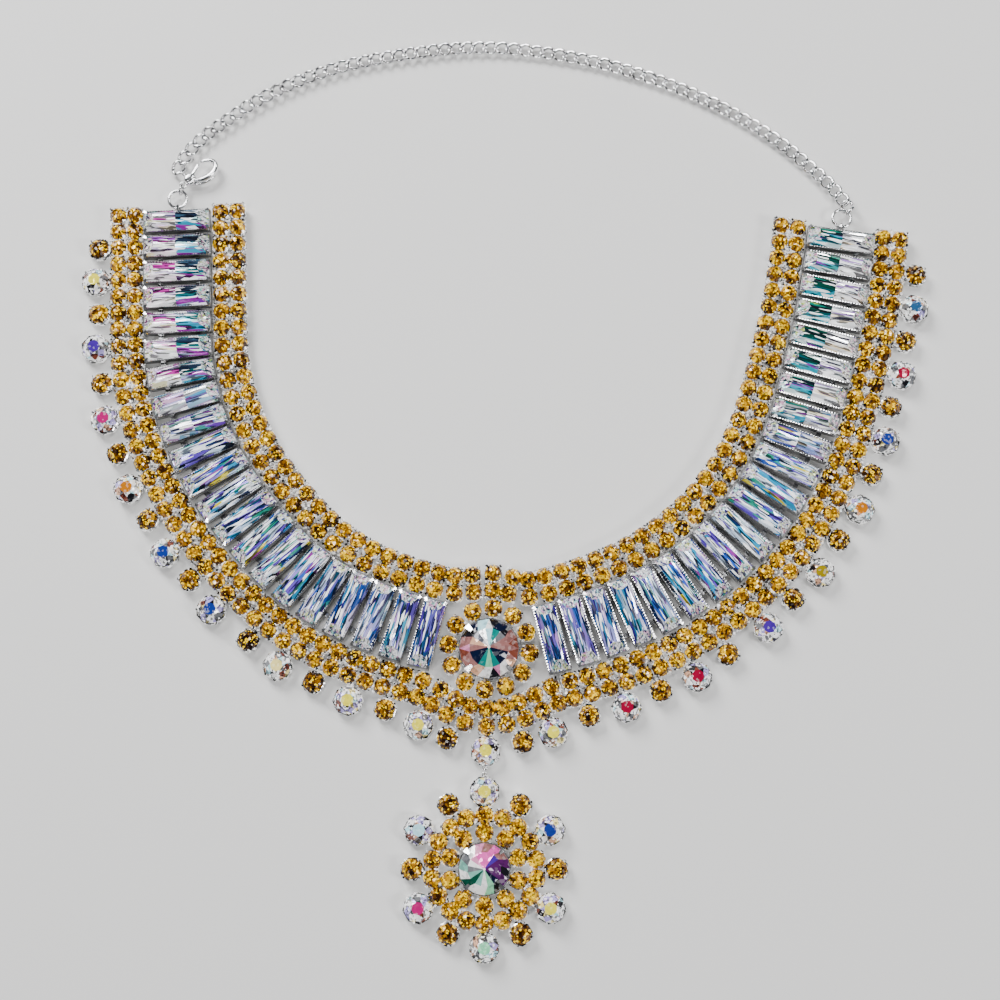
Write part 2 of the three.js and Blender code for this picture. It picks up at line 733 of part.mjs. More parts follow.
function claspNeckSolid() {
  const { from, to, fromHalfWidth, toHalfWidth } = claspNeck;
  const corners = [[from, -fromHalfWidth], [to, -toHalfWidth], [to, toHalfWidth], [from, fromHalfWidth]];
  const outline = new THREE.Shape(corners.map(([x, y]) => new THREE.Vector2(x, y)));
  return toSolid(flatPiece(outline, claspThickness));
}

// Room for the lever: its hub, its thumb piece, the fan it swings through, and the gate that it shuts
function leverRoom() {
  const height = leverThickness + 2 * leverPlay;
  const half = leverWidth / 2 + leverPlay;
  const hub = leverHubRadius + leverPlay;
  const fan = [0.25, 0.5, 0.75, 1].map((share) => bar(leverAngle - share * leverSwing, 0,
    leverLength + leverPlay, -half, half, height));
  return fan.reduce((room, solid) => room.add(solid), disc(pivot, hub, height, discDivisions))
    .add(bar(leverAngle, -leverWidth, hub + leverPlay, -half, gateReach, height))
    .add(bar(leverAngle, hub, leverLength + clearance, -half, gateReach, gateReach));
}

function claspBody() {
  const eye = new THREE.Vector2();
  return claspRim()
    .add(claspNeckSolid())
    .subtract(leverRoom())
    .add(disc(pivot, pinRadius, claspThickness - leverPlay, holeDivisions))
    .add(disc(eye, eyeRadius, eyeThickness, discDivisions))
    .subtract(disc(eye, eyeHole, claspThickness, holeDivisions));
}

function claspLever() {
  const half = leverWidth / 2;
  return disc(pivot, leverHubRadius, leverThickness, discDivisions)
    .add(bar(leverAngle, 0, leverLength, -half, half, leverThickness))
    .add(bar(leverAngle, -half, half, 0, leverThumb, leverThickness))
    .subtract(disc(pivot, pinRadius + leverPlay, claspThickness, holeDivisions));
}

function setClasp(solid) {
  return toGeometry(solid).rotateZ(radians(claspAngle)).translate(eyePlace.x, eyePlace.y, 0);
}

addPiece('clasp_body', setClasp(claspBody()), silver);
addPiece('clasp_lever', setClasp(claspLever()), silver);

// Chain
const routePoints = CHAIN_ROUTE.map(([x, y]) => new THREE.Vector3(x, y, chainRadius));
const section = new THREE.Shape(Array.from({ length: chainSides }, (_, i) => {
  const angle = (2 * i + 1) * PI / chainSides;
  return new THREE.Vector2(cos(angle), sin(angle)).multiplyScalar(chainRadius);
}));
addPiece('chain', new THREE.ExtrudeGeometry(section, {
  steps: chainSteps,
  extrudePath: new THREE.CatmullRomCurve3(routePoints),
}), silver);

export default necklace;
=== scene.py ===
import bpy
import numpy as np
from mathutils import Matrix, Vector


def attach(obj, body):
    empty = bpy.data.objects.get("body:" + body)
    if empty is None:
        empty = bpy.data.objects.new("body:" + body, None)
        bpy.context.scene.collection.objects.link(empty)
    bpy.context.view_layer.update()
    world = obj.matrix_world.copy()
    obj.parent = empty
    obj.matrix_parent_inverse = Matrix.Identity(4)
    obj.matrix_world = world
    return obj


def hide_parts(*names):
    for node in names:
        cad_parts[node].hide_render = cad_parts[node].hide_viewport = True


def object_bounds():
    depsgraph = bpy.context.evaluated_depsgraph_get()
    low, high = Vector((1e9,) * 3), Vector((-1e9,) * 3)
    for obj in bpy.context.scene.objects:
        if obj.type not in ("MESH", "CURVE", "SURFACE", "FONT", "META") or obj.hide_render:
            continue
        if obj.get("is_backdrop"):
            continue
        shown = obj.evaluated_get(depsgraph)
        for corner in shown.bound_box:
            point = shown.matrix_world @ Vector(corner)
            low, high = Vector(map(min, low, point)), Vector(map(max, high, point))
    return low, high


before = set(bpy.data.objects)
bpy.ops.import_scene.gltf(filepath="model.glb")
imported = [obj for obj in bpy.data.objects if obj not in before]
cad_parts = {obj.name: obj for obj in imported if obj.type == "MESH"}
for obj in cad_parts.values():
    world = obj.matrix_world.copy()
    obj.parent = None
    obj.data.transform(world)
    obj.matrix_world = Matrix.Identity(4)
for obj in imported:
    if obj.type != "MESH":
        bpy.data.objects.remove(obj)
cad_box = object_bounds()

# Back frame. Two narrow strips with a rung at each end run under every row of baguettes and carry
# their trays. Stamped brass with a bright plating, which tarnishes a little in its hollows; the
# strips show as small squares between the stones. The solids are kept and only take their finish.


def new_node(tree, kind, settings=None, **inputs):
    """Node with its own settings, and its sockets by name: a value to hold or a socket to link"""
    node = tree.nodes.new(kind)
    for key, value in (settings or {}).items():
        setattr(node, key, value)
    for name, value in inputs.items():
        fill_socket(tree, node.inputs[name.replace("_", " ")], value)
    return node


def fill_socket(tree, socket, value):
    """Links a socket, or sets the value that an unlinked one holds"""
    if isinstance(value, bpy.types.NodeSocket):
        tree.links.new(value, socket)
    else:
        socket.default_value = value


def reckon(tree, operation, *values):
    """Result of a Math node on one to three values or sockets"""
    node = tree.nodes.new("ShaderNodeMath")
    node.operation = operation
    for socket, value in zip(node.inputs, values):
        fill_socket(tree, socket, value)
    return node.outputs[0]


def blended(tree, factor, first, second):
    """Colour that goes from the first to the second as the factor goes from 0 to 1"""
    node = tree.nodes.new("ShaderNodeMix")
    node.data_type = "RGBA"
    for socket, value in zip((node.inputs[0], node.inputs[6], node.inputs[7]), (factor, first, second)):
        fill_socket(tree, socket, value)
    return node.outputs[2]


def new_material(name, **sockets):
    """Material with one Principled shader whose plain sockets hold the given values"""
    material = bpy.data.materials.new(name)
    material.use_nodes = True
    shader = material.node_tree.nodes["Principled BSDF"]
    for socket, value in sockets.items():
        shader.inputs[socket.replace("_", " ")].default_value = value
    return material, material.node_tree, shader


def plating(name, colour, tarnish, roughness, grain, painted_reflection_share=0.0):
    """Plated metal: a colour that darkens in soft patches, with fine marks of casting and tumbling.
    Small bent parts mirror a lamp or the dark room by turns; given a share, cells of half a millimetre
    paint that in: a share of them darkened as painted reflections of the room, and as large a share
    painted white as glints that glow by emission."""
    material, tree, shader = new_material(name, Metallic=1.0)
    place = tree.nodes.new("ShaderNodeTexCoord").outputs["Object"]
    patches = new_node(tree, "ShaderNodeTexNoise", Vector=place, Scale=260.0, Detail=3.0)
    marks = new_node(tree, "ShaderNodeTexNoise", Vector=place, Scale=grain, Detail=2.0)
    dull = reckon(tree, "MULTIPLY_ADD", patches.outputs[0], 3.0, -1.35)
    dull = reckon(tree, "SMOOTH_MAX", dull, 0.0, 0.2)
    metal = blended(tree, dull, colour, tarnish)
    if painted_reflection_share:
        cells = new_node(tree, "ShaderNodeTexVoronoi", Vector=place, Scale=PAINTED_REFLECTION_CELLS)
        value = new_node(tree, "ShaderNodeSeparateColor", Color=cells.outputs["Color"]).outputs[0]
        # Painted dark reflections: a share of the cells darkened to near black
        metal = blended(tree, reckon(tree, "LESS_THAN", value, painted_reflection_share), metal, (0.03, 0.03, 0.035, 1))
        # Painted glints: as large a share of the cells glows white by emission
        painted_glint_mask = reckon(tree, "GREATER_THAN", value, 1 - painted_reflection_share)
        painted_glow = blended(tree, painted_glint_mask, (0, 0, 0, 1), (1.0, 0.99, 0.97, 1))
        tree.links.new(painted_glow, shader.inputs["Emission Color"])
        shader.inputs["Emission Strength"].default_value = 0.9
    tree.links.new(metal, shader.inputs["Base Color"])
    rough = reckon(tree, "MULTIPLY_ADD", marks.outputs[0], 0.22, roughness - 0.11)
    tree.links.new(rough, shader.inputs["Roughness"])
    bump = new_node(tree, "ShaderNodeBump", Height=marks.outputs[0], Strength=0.25, Distance=0.00005)
    tree.links.new(bump.outputs[0], shader.inputs["Normal"])
    return material


# Size of the cells of painted glints and painted dark reflections
PAINTED_REFLECTION_CELLS = 1900.0
bright_plating = plating("bright plating", (0.93, 0.93, 0.94, 1), (0.34, 0.33, 0.33, 1), 0.16, 2600.0)
for node_name in ("back_frame_left", "back_frame_right"):
    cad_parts[node_name].material_slots[0].material = bright_plating

# Baguette trays. Each stone sits in its own shallow pressed tray, plated bright, whose long edges
# are rolled into a fine row of beads and whose corners fold over the glass as four small claws.
# Here the trays' walls take a dark grey plating, painted shade for the deep gaps between the stones;
# the beaded edges and the claws keep the bright plating.
STONES_PER_SIDE = 21
STONE_SPACING = 5.822
TRAY_WIDTH = 4.78
TRAY_LENGTH = 14.6
TRAY_BOTTOM, TRAY_TOP = 1.0, 3.05
SIDE_RUN = STONES_PER_SIDE * STONE_SPACING
CENTRE_RUN = 20.378
BAND_LENGTH = 2 * SIDE_RUN + CENTRE_RUN
CENTRE_BELOW_BAND = 0.65
FIRST_HEADING = np.radians(-87.25)
BENDS = [
    (0.105, 0.0), (0.156, 34.2), (0.055, 7.8), (0.092, 25.1), (0.075, 9.4),
    (0.054, 23.0), (0.081, 11.5), (0.215, 48.7), (0.065, 2.9), (0.102, 7.2),
]


def band_line(distance):
    """Points, directions ahead and directions to the left on the band's middle line. The line is a
    chain of arcs: a run r of a bend of length l and turn a turns the heading by b = a r / l, and
    moves the point by the chord 2 r sin(b / 2) / b at the heading half way through."""
    ahead_left = np.asarray(distance, float)
    place = np.zeros(ahead_left.shape + (2,))
    heading = np.full(ahead_left.shape, FIRST_HEADING)
    for number, (share, turn) in enumerate(BENDS):
        length = share * BAND_LENGTH
        run = np.minimum(ahead_left, length) if number == 0 else np.clip(ahead_left, 0, length)
        angle = np.radians(turn) * run / length
        middle = heading + angle / 2
        chord = run * np.sinc(angle / (2 * np.pi))
        place += chord[..., None] * np.stack([np.cos(middle), np.sin(middle)], -1)
        heading = heading + angle
        ahead_left = ahead_left - run
    ahead = np.stack([np.cos(heading), np.sin(heading)], -1)
    place += ahead_left[..., None] * ahead
    return place, ahead, np.stack([-ahead[..., 1], ahead[..., 0]], -1)


centre_place, _, centre_left = band_line(SIDE_RUN + CENTRE_RUN / 2)
band_shift = centre_place - CENTRE_BELOW_BAND * centre_left


def band_frames(distance):
    """The band's line with the centre stone's place as its origin"""
    place, ahead, left = band_line(distance)
    return place - band_shift, ahead, left


def placed(shape, place, ahead, left, scale=1.0):
    """Copies of one shape's points: point plus x times ahead, plus y times left, with z as it is.
    Gives an array of copies by points by 3."""
    shape = np.asarray(shape, float)
    scale = np.broadcast_to(scale, place.shape[:1])[:, None, None]
    across = shape[None, :, :1] * ahead[:, None] + shape[None, :, 1:2] * left[:, None]
    flat = place[:, None] + scale * across
    height = np.broadcast_to(shape[None, :, 2:], flat.shape[:2] + (1,))
    return np.concatenate([flat, height], -1)


def repeated(facets, copies, size):
    """Corner numbers of one shape's facets, for all its copies: each copy adds its number times the
    shape's count of points"""
    steps = size * np.arange(copies)[:, None, None]
    return [(np.asarray(group)[None] + steps).reshape(-1, np.shape(group)[1]) for group in facets]


def merged(*parts):
    """One list of points and one of facet groups from several (points, facets) pairs"""
    start, points, facets = 0, [], []
    for part_points, part_facets in parts:
        part_points = np.reshape(part_points, (-1, 3))
        facets += [np.asarray(group) + start for group in part_facets]
        points.append(part_points)
        start += len(part_points)
    return np.concatenate(points), facets


def add_piece(name, parts, material, nodes=(), body="necklace", smooth=False):
    """Mesh object in metres from points in millimetres and groups of facets with equal corners"""
    points, facets = merged(*parts)
    corners = np.concatenate([group.ravel() for group in facets])
    sizes = np.concatenate([np.full(len(group), group.shape[1]) for group in facets])
    mesh = bpy.data.meshes.new(name)
    mesh.vertices.add(len(points))
    mesh.vertices.foreach_set("co", (0.001 * points).ravel())
    mesh.loops.add(len(corners))
    mesh.loops.foreach_set("vertex_index", corners)
    mesh.polygons.add(len(sizes))
    mesh.polygons.foreach_set("loop_start", np.cumsum(sizes) - sizes)
    mesh.update(calc_edges=True)
    mesh.polygons.foreach_set("use_smooth", np.full(len(sizes), smooth))
    mesh.materials.append(material)
    piece = bpy.data.objects.new(name, mesh)
    bpy.context.scene.collection.objects.link(piece)
    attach(piece, body)
    if nodes:
        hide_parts(*nodes)
    return piece


def shell_facets(levels, around):
    """Facets of a closed shell whose points lie in level rings, lowest first: walls from ring to
    ring, and a flat cap at both ends"""
    ring = np.arange(around)
    after = np.roll(ring, -1)
    wall = np.stack([ring, after, after + around, ring + around], -1)
    walls = (wall[None] + around * np.arange(levels - 1)[:, None, None]).reshape(-1, 4)
    return [walls, ring[None, ::-1], ring[None] + around * (levels - 1)]


def rectangle_rings(insets, heights):
    """Rings of four corners, counter-clockwise, the tray's outline drawn in by each inset"""
    half = np.array([[1, -1], [1, 1], [-1, 1], [-1, -1]]) * [TRAY_WIDTH / 2, TRAY_LENGTH / 2]
    signs = np.sign(half)
    rings = half[None] - signs[None] * np.reshape(insets, (-1, 1, 1))
    levels = np.broadcast_to(np.reshape(heights, (-1, 1, 1)), (len(heights), 4, 1))
    return np.concatenate([rings, levels], -1).reshape(-1, 3)


def tube(path, across, up, radius_across, radius_up, around, closed=False):
    """Tube along a path: at each point an ellipse with the two radii along the directions across and
    up, its corners counter-clockwise about the path"""
    angle = 2 * np.pi * (np.arange(around) + 0.5) / around
    out = np.cos(angle)[None, :, None] * np.reshape(radius_across, (-1, 1, 1)) * across[:, None]
    out = out + np.sin(angle)[None, :, None] * np.reshape(radius_up, (-1, 1, 1)) * up[:, None]
    points = (path[:, None] + out).reshape(-1, 3)
    if not closed:
        return points, shell_facets(len(path), around)
    walls = shell_facets(len(path) + 1, around)[0] % len(points)
    return points, [walls]


left_row = STONE_SPACING * (np.arange(STONES_PER_SIDE) + 0.5)
right_row = left_row + SIDE_RUN + CENTRE_RUN

tray_points = rectangle_rings([0.25, 0, 0, 0.26, 0.3], [TRAY_BOTTOM, 1.35, TRAY_TOP, TRAY_TOP, 2.6])
tray_facets = shell_facets(5, 4)

# Beaded edge: a thin roll whose radius swells once for each bead
BEAD_STEPS = 47
BEAD_HALF_LENGTH = 6.9
bead_steps = np.linspace(-1, 1, BEAD_STEPS)
bead_path = np.stack([0 * bead_steps, BEAD_HALF_LENGTH * bead_steps, 0 * bead_steps], -1)
bead_radius = 0.15 + 0.08 * np.cos(np.pi * np.arange(BEAD_STEPS))
bead_across = np.tile([-1.0, 0, 0], (BEAD_STEPS, 1))
bead_up = np.tile([0, 0, 1.0], (BEAD_STEPS, 1))
bead_points, bead_facets = tube(bead_path, bead_across, bead_up, bead_radius, bead_radius, 5)
edge_sides = [bead_points + [side * (TRAY_WIDTH / 2 - 0.14), 0, TRAY_TOP + 0.08] for side in (-1, 1)]


def claw(foot, tip, width):
    """Small claw from a foot to a tip, bent once between them: four-cornered sections that narrow,
    standing square to the way the claw leans"""
    foot, tip = np.asarray(foot, float), np.asarray(tip, float)
    lean = tip[:2] - foot[:2]
    lean /= np.linalg.norm(lean)
    side = np.array([-lean[1], lean[0], 0])
    out = np.array([lean[0], lean[1], 0])
    knee = np.array([foot[0], foot[1], 0.25 * foot[2] + 0.75 * tip[2]])
    stations = ((foot, width, 0.3, 0), (knee, width, 0.26, 0.1), (tip, 0.5 * width, 0.1, 0.14))
    sections = []
    for centre, wide, deep, rise in stations:
        corners = [-wide * side - deep * out, wide * side - deep * out]
        corners += [wide * side + deep * out, -wide * side + deep * out]
        sections += [centre + 0.5 * corner + [0, 0, rise * (1 if number < 2 else -1)]
                     for number, corner in enumerate(corners)]
    return np.array(sections), [group[:, ::-1] for group in shell_facets(3, 4)]


tray_claws = [
    claw((x * 2.2, y * 7.0, 2.7), (x * 1.75, y * 6.4, 3.72), 0.62) for x in (-1, 1) for y in (-1, 1)]
tray_edges = merged((edge_sides[0], bead_facets), (edge_sides[1], bead_facets), *tray_claws)
# Painted shade: dark grey plating on the tray walls in place of their bright plating
tray_plating_darkened_as_shade = plating("tray plating painted dark as shade", (0.3, 0.3, 0.31, 1), (0.1, 0.095, 0.09, 1), 0.3, 2600.0)
for side_name, row in (("left", left_row), ("right", right_row)):
    for part_name, (part_points, part_facets), metal in (
        ("trays", (tray_points, tray_facets), tray_plating_darkened_as_shade), ("tray_edges", tray_edges, bright_plating)
    ):
        points = placed(part_points, *band_frames(row))
        facets = repeated(part_facets, STONES_PER_SIDE, len(part_points))
        add_piece(f"baguette_{part_name}_{side_name}", [(points, facets)], metal)

# Baguette stones. Long step-cut glass with a foil back and an iridescent coat: long streaks of cyan,
# violet, mint and white through the table, and fans of small triangles at both ends, all painted
# reflections in the colour, with painted glints that glow by emission. Painted light splits the
# upper stones across the middle, dark towards the neck and white towards the rim.
STONE_HALF_WIDTH = 2.12
STONE_HALF_LENGTH = 7.02
GIRDLE_HEIGHT = 2.95
TABLE_HEIGHT = 4.9
RIGHT_SEED = 500


def glass_streaks():
    """Node group for the painted reflections seen through cut glass over foil: shards as the cells of
    Voronoi patterns of three sizes. Shade is a random value for each broad shard, broken up a little
    by the middle ones. Bright and Dark mark the fine ones painted as flashing glints or as dark
    reflections, and Normal leans each shard."""
    group = bpy.data.node_groups.new("glass streaks", "ShaderNodeTree")
    interface = group.interface
    interface.new_socket("Vector", in_out="INPUT", socket_type="NodeSocketVector")
    for name in ("Middle", "Fine", "Lean"):
        interface.new_socket(name, in_out="INPUT", socket_type="NodeSocketFloat")
    for name in ("Shade", "Bright", "Dark"):
        interface.new_socket(name, in_out="OUTPUT", socket_type="NodeSocketFloat")
    interface.new_socket("Normal", in_out="OUTPUT", socket_type="NodeSocketVector")
    given = group.nodes.new("NodeGroupInput").outputs
    levels = []
    for scale in (1.0, given["Middle"], given["Fine"]):
        sized = new_node(group, "ShaderNodeVectorMath", {"operation": "SCALE"}, Vector=given["Vector"])
        fill_socket(group, sized.inputs["Scale"], scale)
        cells = new_node(group, "ShaderNodeTexVoronoi", Vector=sized.outputs[0], Scale=1.0)
        values = new_node(group, "ShaderNodeSeparateColor", Color=cells.outputs["Color"])
        levels.append((cells, values.outputs))
    broad, (middle, middle_value), (_, fine_value) = levels[0][1], levels[1], levels[2]
    shade = reckon(group, "FRACT", reckon(group, "MULTIPLY_ADD", middle_value[0], 0.35, broad[0]))
    bright = reckon(group, "GREATER_THAN", fine_value[1], 0.86)
    dark = reckon(group, "LESS_THAN", fine_value[1], 0.27)
    centred = new_node(group, "ShaderNodeVectorMath", {"operation": "SUBTRACT"})
    fill_socket(group, centred.inputs[0], middle.outputs["Color"])
    centred.inputs[1].default_value = (0.5, 0.5, 0.5)
    leaned = new_node(group, "ShaderNodeVectorMath", {"operation": "SCALE"}, Vector=centred.outputs[0])
    fill_socket(group, leaned.inputs["Scale"], given["Lean"])
    total = new_node(group, "ShaderNodeVectorMath", {"operation": "ADD"})
    fill_socket(group, total.inputs[0], leaned.outputs[0])
    fill_socket(group, total.inputs[1], group.nodes.new("ShaderNodeNewGeometry").outputs["Normal"])
    unit = new_node(group, "ShaderNodeVectorMath", {"operation": "NORMALIZE"}, Vector=total.outputs[0])
    given_out = group.nodes.new("NodeGroupOutput").inputs
    for name, value in (("Shade", shade), ("Bright", bright), ("Dark", dark), ("Normal", unit.outputs[0])):
        fill_socket(group, given_out[name], value)
    return group


streak_group = glass_streaks()


def colour_steps(tree, factor, steps):
    """Colour of the last step that the factor has passed: flat colours with sharp edges"""
    node = new_node(tree, "ShaderNodeValToRGB", Fac=factor)
    ramp = node.color_ramp
    ramp.interpolation = "CONSTANT"
    for number, (position, colour) in enumerate(steps):
        stop = ramp.elements[number] if number < 2 else ramp.elements.new(position)
        stop.position = position
        stop.color = (*colour, 1)
    return node.outputs[0]


def streaks_of(tree, vector, middle, fine, lean):
    """The streak group in a material, with its own sizes of shard and its own lean"""
    node = tree.nodes.new("ShaderNodeGroup")
    node.node_tree = streak_group
    fill_socket(tree, node.inputs["Vector"], vector)
    for name, value in (("Middle", middle), ("Fine", fine), ("Lean", lean)):
        node.inputs[name].default_value = value
    return node.outputs


def flashes(tree, glass, colour, bright, dark, light=(1.0, 1.0, 1.0, 1), gloom=(0.004, 0.004, 0.008, 1)):
    """Colour with its fine shards painted as flashing glints or as dark reflections, by the given shares"""
    colour = blended(tree, reckon(tree, "MULTIPLY", glass["Dark"], dark), colour, gloom)
    return blended(tree, reckon(tree, "MULTIPLY", glass["Bright"], bright), colour, light)


def baguette_glass():
    """Painted reflections by shard. On a stone split by painted light the outer half goes from pink to
    white across the stone, the inner half from navy over cyan to violet; the others have long mixed
    streaks, dusk colours near the centre, and the end facets pale crumbs. Flashing shards are painted
    glints, and the colour glows faintly by emission."""
    material, tree, shader = new_material("baguette glass", Roughness=0.08, Metallic=0.15)
    shader.inputs["Coat Weight"].default_value = 0.15
    streak = new_node(tree, "ShaderNodeAttribute", {"attribute_name": "streak"}).outputs["Vector"]
    look = new_node(tree, "ShaderNodeAttribute", {"attribute_name": "look"}).outputs["Vector"]
    along, across, seed = new_node(tree, "ShaderNodeSeparateXYZ", Vector=streak).outputs
    painted_light_split, dusk, end = new_node(tree, "ShaderNodeSeparateXYZ", Vector=look).outputs
    rim_half = reckon(tree, "LESS_THAN", along, 0.0)
    half_seed = reckon(tree, "MULTIPLY_ADD", reckon(tree, "MULTIPLY", rim_half, painted_light_split), 3.7, seed)
    stretch = reckon(tree, "MULTIPLY_ADD", end, 0.9, 0.1)
    vector = new_node(tree, "ShaderNodeCombineXYZ", Z=half_seed)
    fill_socket(tree, vector.inputs["X"], reckon(tree, "MULTIPLY", along, stretch))
    fill_socket(tree, vector.inputs["Y"], reckon(tree, "MULTIPLY", across, 0.95))
    glass = streaks_of(tree, vector.outputs[0], 1.9, 4.4, 0.4)
    shade = glass["Shade"]
    sideways = new_node(tree, "ShaderNodeMapRange", {"clamp": True}, Value=across)
    for socket, value in zip(("From Min", "From Max", "To Min", "To Max"), (-2.1, 2.1, 0.0, 0.62)):
        sideways.inputs[socket].default_value = value
    banded = reckon(tree, "MULTIPLY_ADD", shade, 0.38, sideways.outputs[0])
    deep = colour_steps(tree, banded, [
        (0.0, (0.28, 0.03, 0.5)), (0.12, (0.5, 0.6, 0.85)), (0.17, (0.36, 0.02, 0.4)),
        (0.28, (0.01, 0.38, 0.6)), (0.4, (0.6, 0.9, 0.92)), (0.44, (0.003, 0.12, 0.13)),
        (0.54, (0.01, 0.02, 0.045)), (0.7, (0.03, 0.08, 0.14)), (0.84, (0.02, 0.28, 0.3)),
        (0.93, (0.75, 0.88, 0.85))])
    bright = colour_steps(tree, banded, [
        (0.0, (1.0, 1.0, 1.0)), (0.22, (0.95, 0.9, 0.55)), (0.28, (1.0, 1.0, 1.0)),
        (0.42, (0.1, 0.08, 0.16)), (0.48, (0.8, 0.7, 1.0)), (0.56, (0.5, 0.03, 0.34)),
        (0.73, (0.01, 0.01, 0.02)), (0.77, (0.4, 0.08, 0.6)), (0.87, (0.0, 0.25, 0.2)),
        (0.95, (0.8, 1.0, 0.9))])
    mixed = colour_steps(tree, shade, [
        (0.0, (0.01, 0.3, 0.55)), (0.13, (0.004, 0.008, 0.02)), (0.23, (0.6, 0.75, 0.92)),
        (0.34, (0.12, 0.06, 0.5)), (0.46, (0.85, 0.9, 1.0)), (0.53, (0.02, 0.3, 0.2)),
        (0.61, (0.006, 0.02, 0.09)), (0.69, (0.02, 0.1, 0.5)), (0.78, (0.9, 0.95, 1.0)),
        (0.86, (0.3, 0.03, 0.34)), (0.92, (0.3, 0.24, 0.7)), (0.97, (0.75, 0.62, 0.03))])
    evening = colour_steps(tree, shade, [
        (0.0, (0.006, 0.012, 0.08)), (0.15, (0.05, 0.02, 0.36)), (0.3, (0.003, 0.1, 0.16)),
        (0.39, (0.4, 0.42, 0.82)), (0.46, (0.13, 0.05, 0.42)), (0.58, (0.02, 0.1, 0.42)),
        (0.68, (0.003, 0.008, 0.04)), (0.78, (0.4, 0.16, 0.6)), (0.86, (0.01, 0.35, 0.5)),
        (0.93, (0.9, 0.92, 1.0))])
    crumbs = colour_steps(tree, shade, [
        (0.0, (1.0, 1.0, 1.0)), (0.3, (0.01, 0.01, 0.02)), (0.42, (0.25, 0.7, 0.6)),
        (0.5, (0.85, 0.4, 0.62)), (0.62, (0.08, 0.09, 0.12)), (0.72, (0.95, 0.97, 1.0)),
        (0.8, (0.6, 0.75, 0.15)), (0.88, (0.01, 0.03, 0.06))])
    deep_right = colour_steps(tree, banded, [
        (0.0, (0.75, 0.95, 1.0)), (0.1, (0.01, 0.4, 0.55)), (0.3, (0.25, 0.03, 0.4)),
        (0.36, (0.0, 0.07, 0.09)), (0.48, (0.0, 0.05, 0.035)), (0.6, (0.004, 0.01, 0.02)),
        (0.72, (0.0, 0.2, 0.13)), (0.82, (0.5, 0.68, 0.06)), (0.9, (0.01, 0.03, 0.05))])
    bright_right = colour_steps(tree, banded, [
        (0.0, (1.0, 1.0, 1.0)), (0.2, (1.0, 0.82, 0.55)), (0.28, (1.0, 1.0, 1.0)),
        (0.42, (0.02, 0.02, 0.04)), (0.48, (0.85, 0.92, 1.0)), (0.58, (0.3, 0.15, 0.5)),
        (0.65, (0.95, 0.97, 1.0)), (0.78, (0.01, 0.01, 0.02)), (0.84, (0.02, 0.3, 0.4)),
        (0.92, (1.0, 1.0, 1.0))])
    right_row_mask = reckon(tree, "GREATER_THAN", seed, RIGHT_SEED - 1)
    deep = blended(tree, right_row_mask, deep, deep_right)
    bright = blended(tree, right_row_mask, bright, bright_right)
    # Painted light: the outer half of a split stone takes the pale colours, the inner half the dark ones
    halves = blended(tree, rim_half, deep, bright)
    colour = blended(tree, painted_light_split, mixed, halves)
    colour = blended(tree, dusk, colour, evening)
    colour = blended(tree, end, colour, crumbs)
    # Painted glints and painted dark reflections in the fine shards, fewer on the end facets
    flashing = reckon(tree, "MULTIPLY_ADD", end, -0.7, 0.8)
    colour = flashes(tree, glass, colour, flashing, reckon(tree, "MULTIPLY_ADD", end, -0.5, 0.85))
    # Painted glow: the colour glows faintly by emission, and the flashing shards glow white
    faint_painted_glow = blended(tree, 0.28, (0, 0, 0, 1), colour)
    painted_glow = blended(tree, reckon(tree, "MULTIPLY", glass["Bright"], flashing), faint_painted_glow, (1.0, 1.0, 1.0, 1))
    tree.links.new(painted_glow, shader.inputs["Emission Color"])
    shader.inputs["Emission Strength"].default_value = 1.2
    tree.links.new(colour, shader.inputs["Base Color"])
    tree.links.new(glass["Normal"], shader.inputs["Normal"])
    return material


def baguette_shape():
    """Points and facets of one stone: a girdle with three points along each end, a step and a table
    above it, whose sides are long flats and whose ends are fans of triangles"""
    a, b, low, high = STONE_HALF_WIDTH, STONE_HALF_LENGTH, GIRDLE_HEIGHT, TABLE_HEIGHT
    step, top = 0.45, 0.95
    half = [
        (a, b, low), (0.5 * a, b, low + 0.25), (0, b, low), (-0.5 * a, b, low + 0.25), (-a, b, low),
        (a - step, b - 0.95, low + 1.15), (-a + step, b - 0.95, low + 1.15),
        (a - top, b - 2.0, high), (0, b - 2.3, high), (-a + top, b - 2.0, high),
    ]
    half = np.array(half, float)
    points = np.concatenate([half, half * [-1, -1, 1]])
    fans = np.array([
        (0, 1, 5), (5, 1, 7), (7, 1, 8), (1, 2, 8), (2, 3, 8), (8, 3, 9), (9, 3, 6), (3, 4, 6)])
    sides = np.array([(4, 10, 15, 6), (6, 15, 17, 9), (14, 0, 5, 16), (16, 5, 7, 19)])
    table = np.array([(7, 8, 9, 17, 18, 19)])
    base = np.array([(0, 1, 2, 3, 4, 10, 11, 12, 13, 14)])[:, ::-1]
    return points, [np.concatenate([fans, fans + 10]), sides, table, base]


def set_vectors(piece, name, values):
    """Vector attribute at the corners of the facets"""
    layer = piece.data.attributes.new(name, "FLOAT_VECTOR", "CORNER")
    layer.data.foreach_set("vector", np.ascontiguousarray(values, np.float32).ravel())


def facet_numbers(piece):
    """For each corner of a mesh, the number of its facet and of its point"""
    mesh = piece.data
    starts = np.zeros(len(mesh.polygons), int)
    mesh.polygons.foreach_get("loop_start", starts)
    facet = np.searchsorted(starts, np.arange(len(mesh.loops)), side="right") - 1
    point = np.zeros(len(mesh.loops), int)
    mesh.loops.foreach_get("vertex_index", point)
    return facet, point


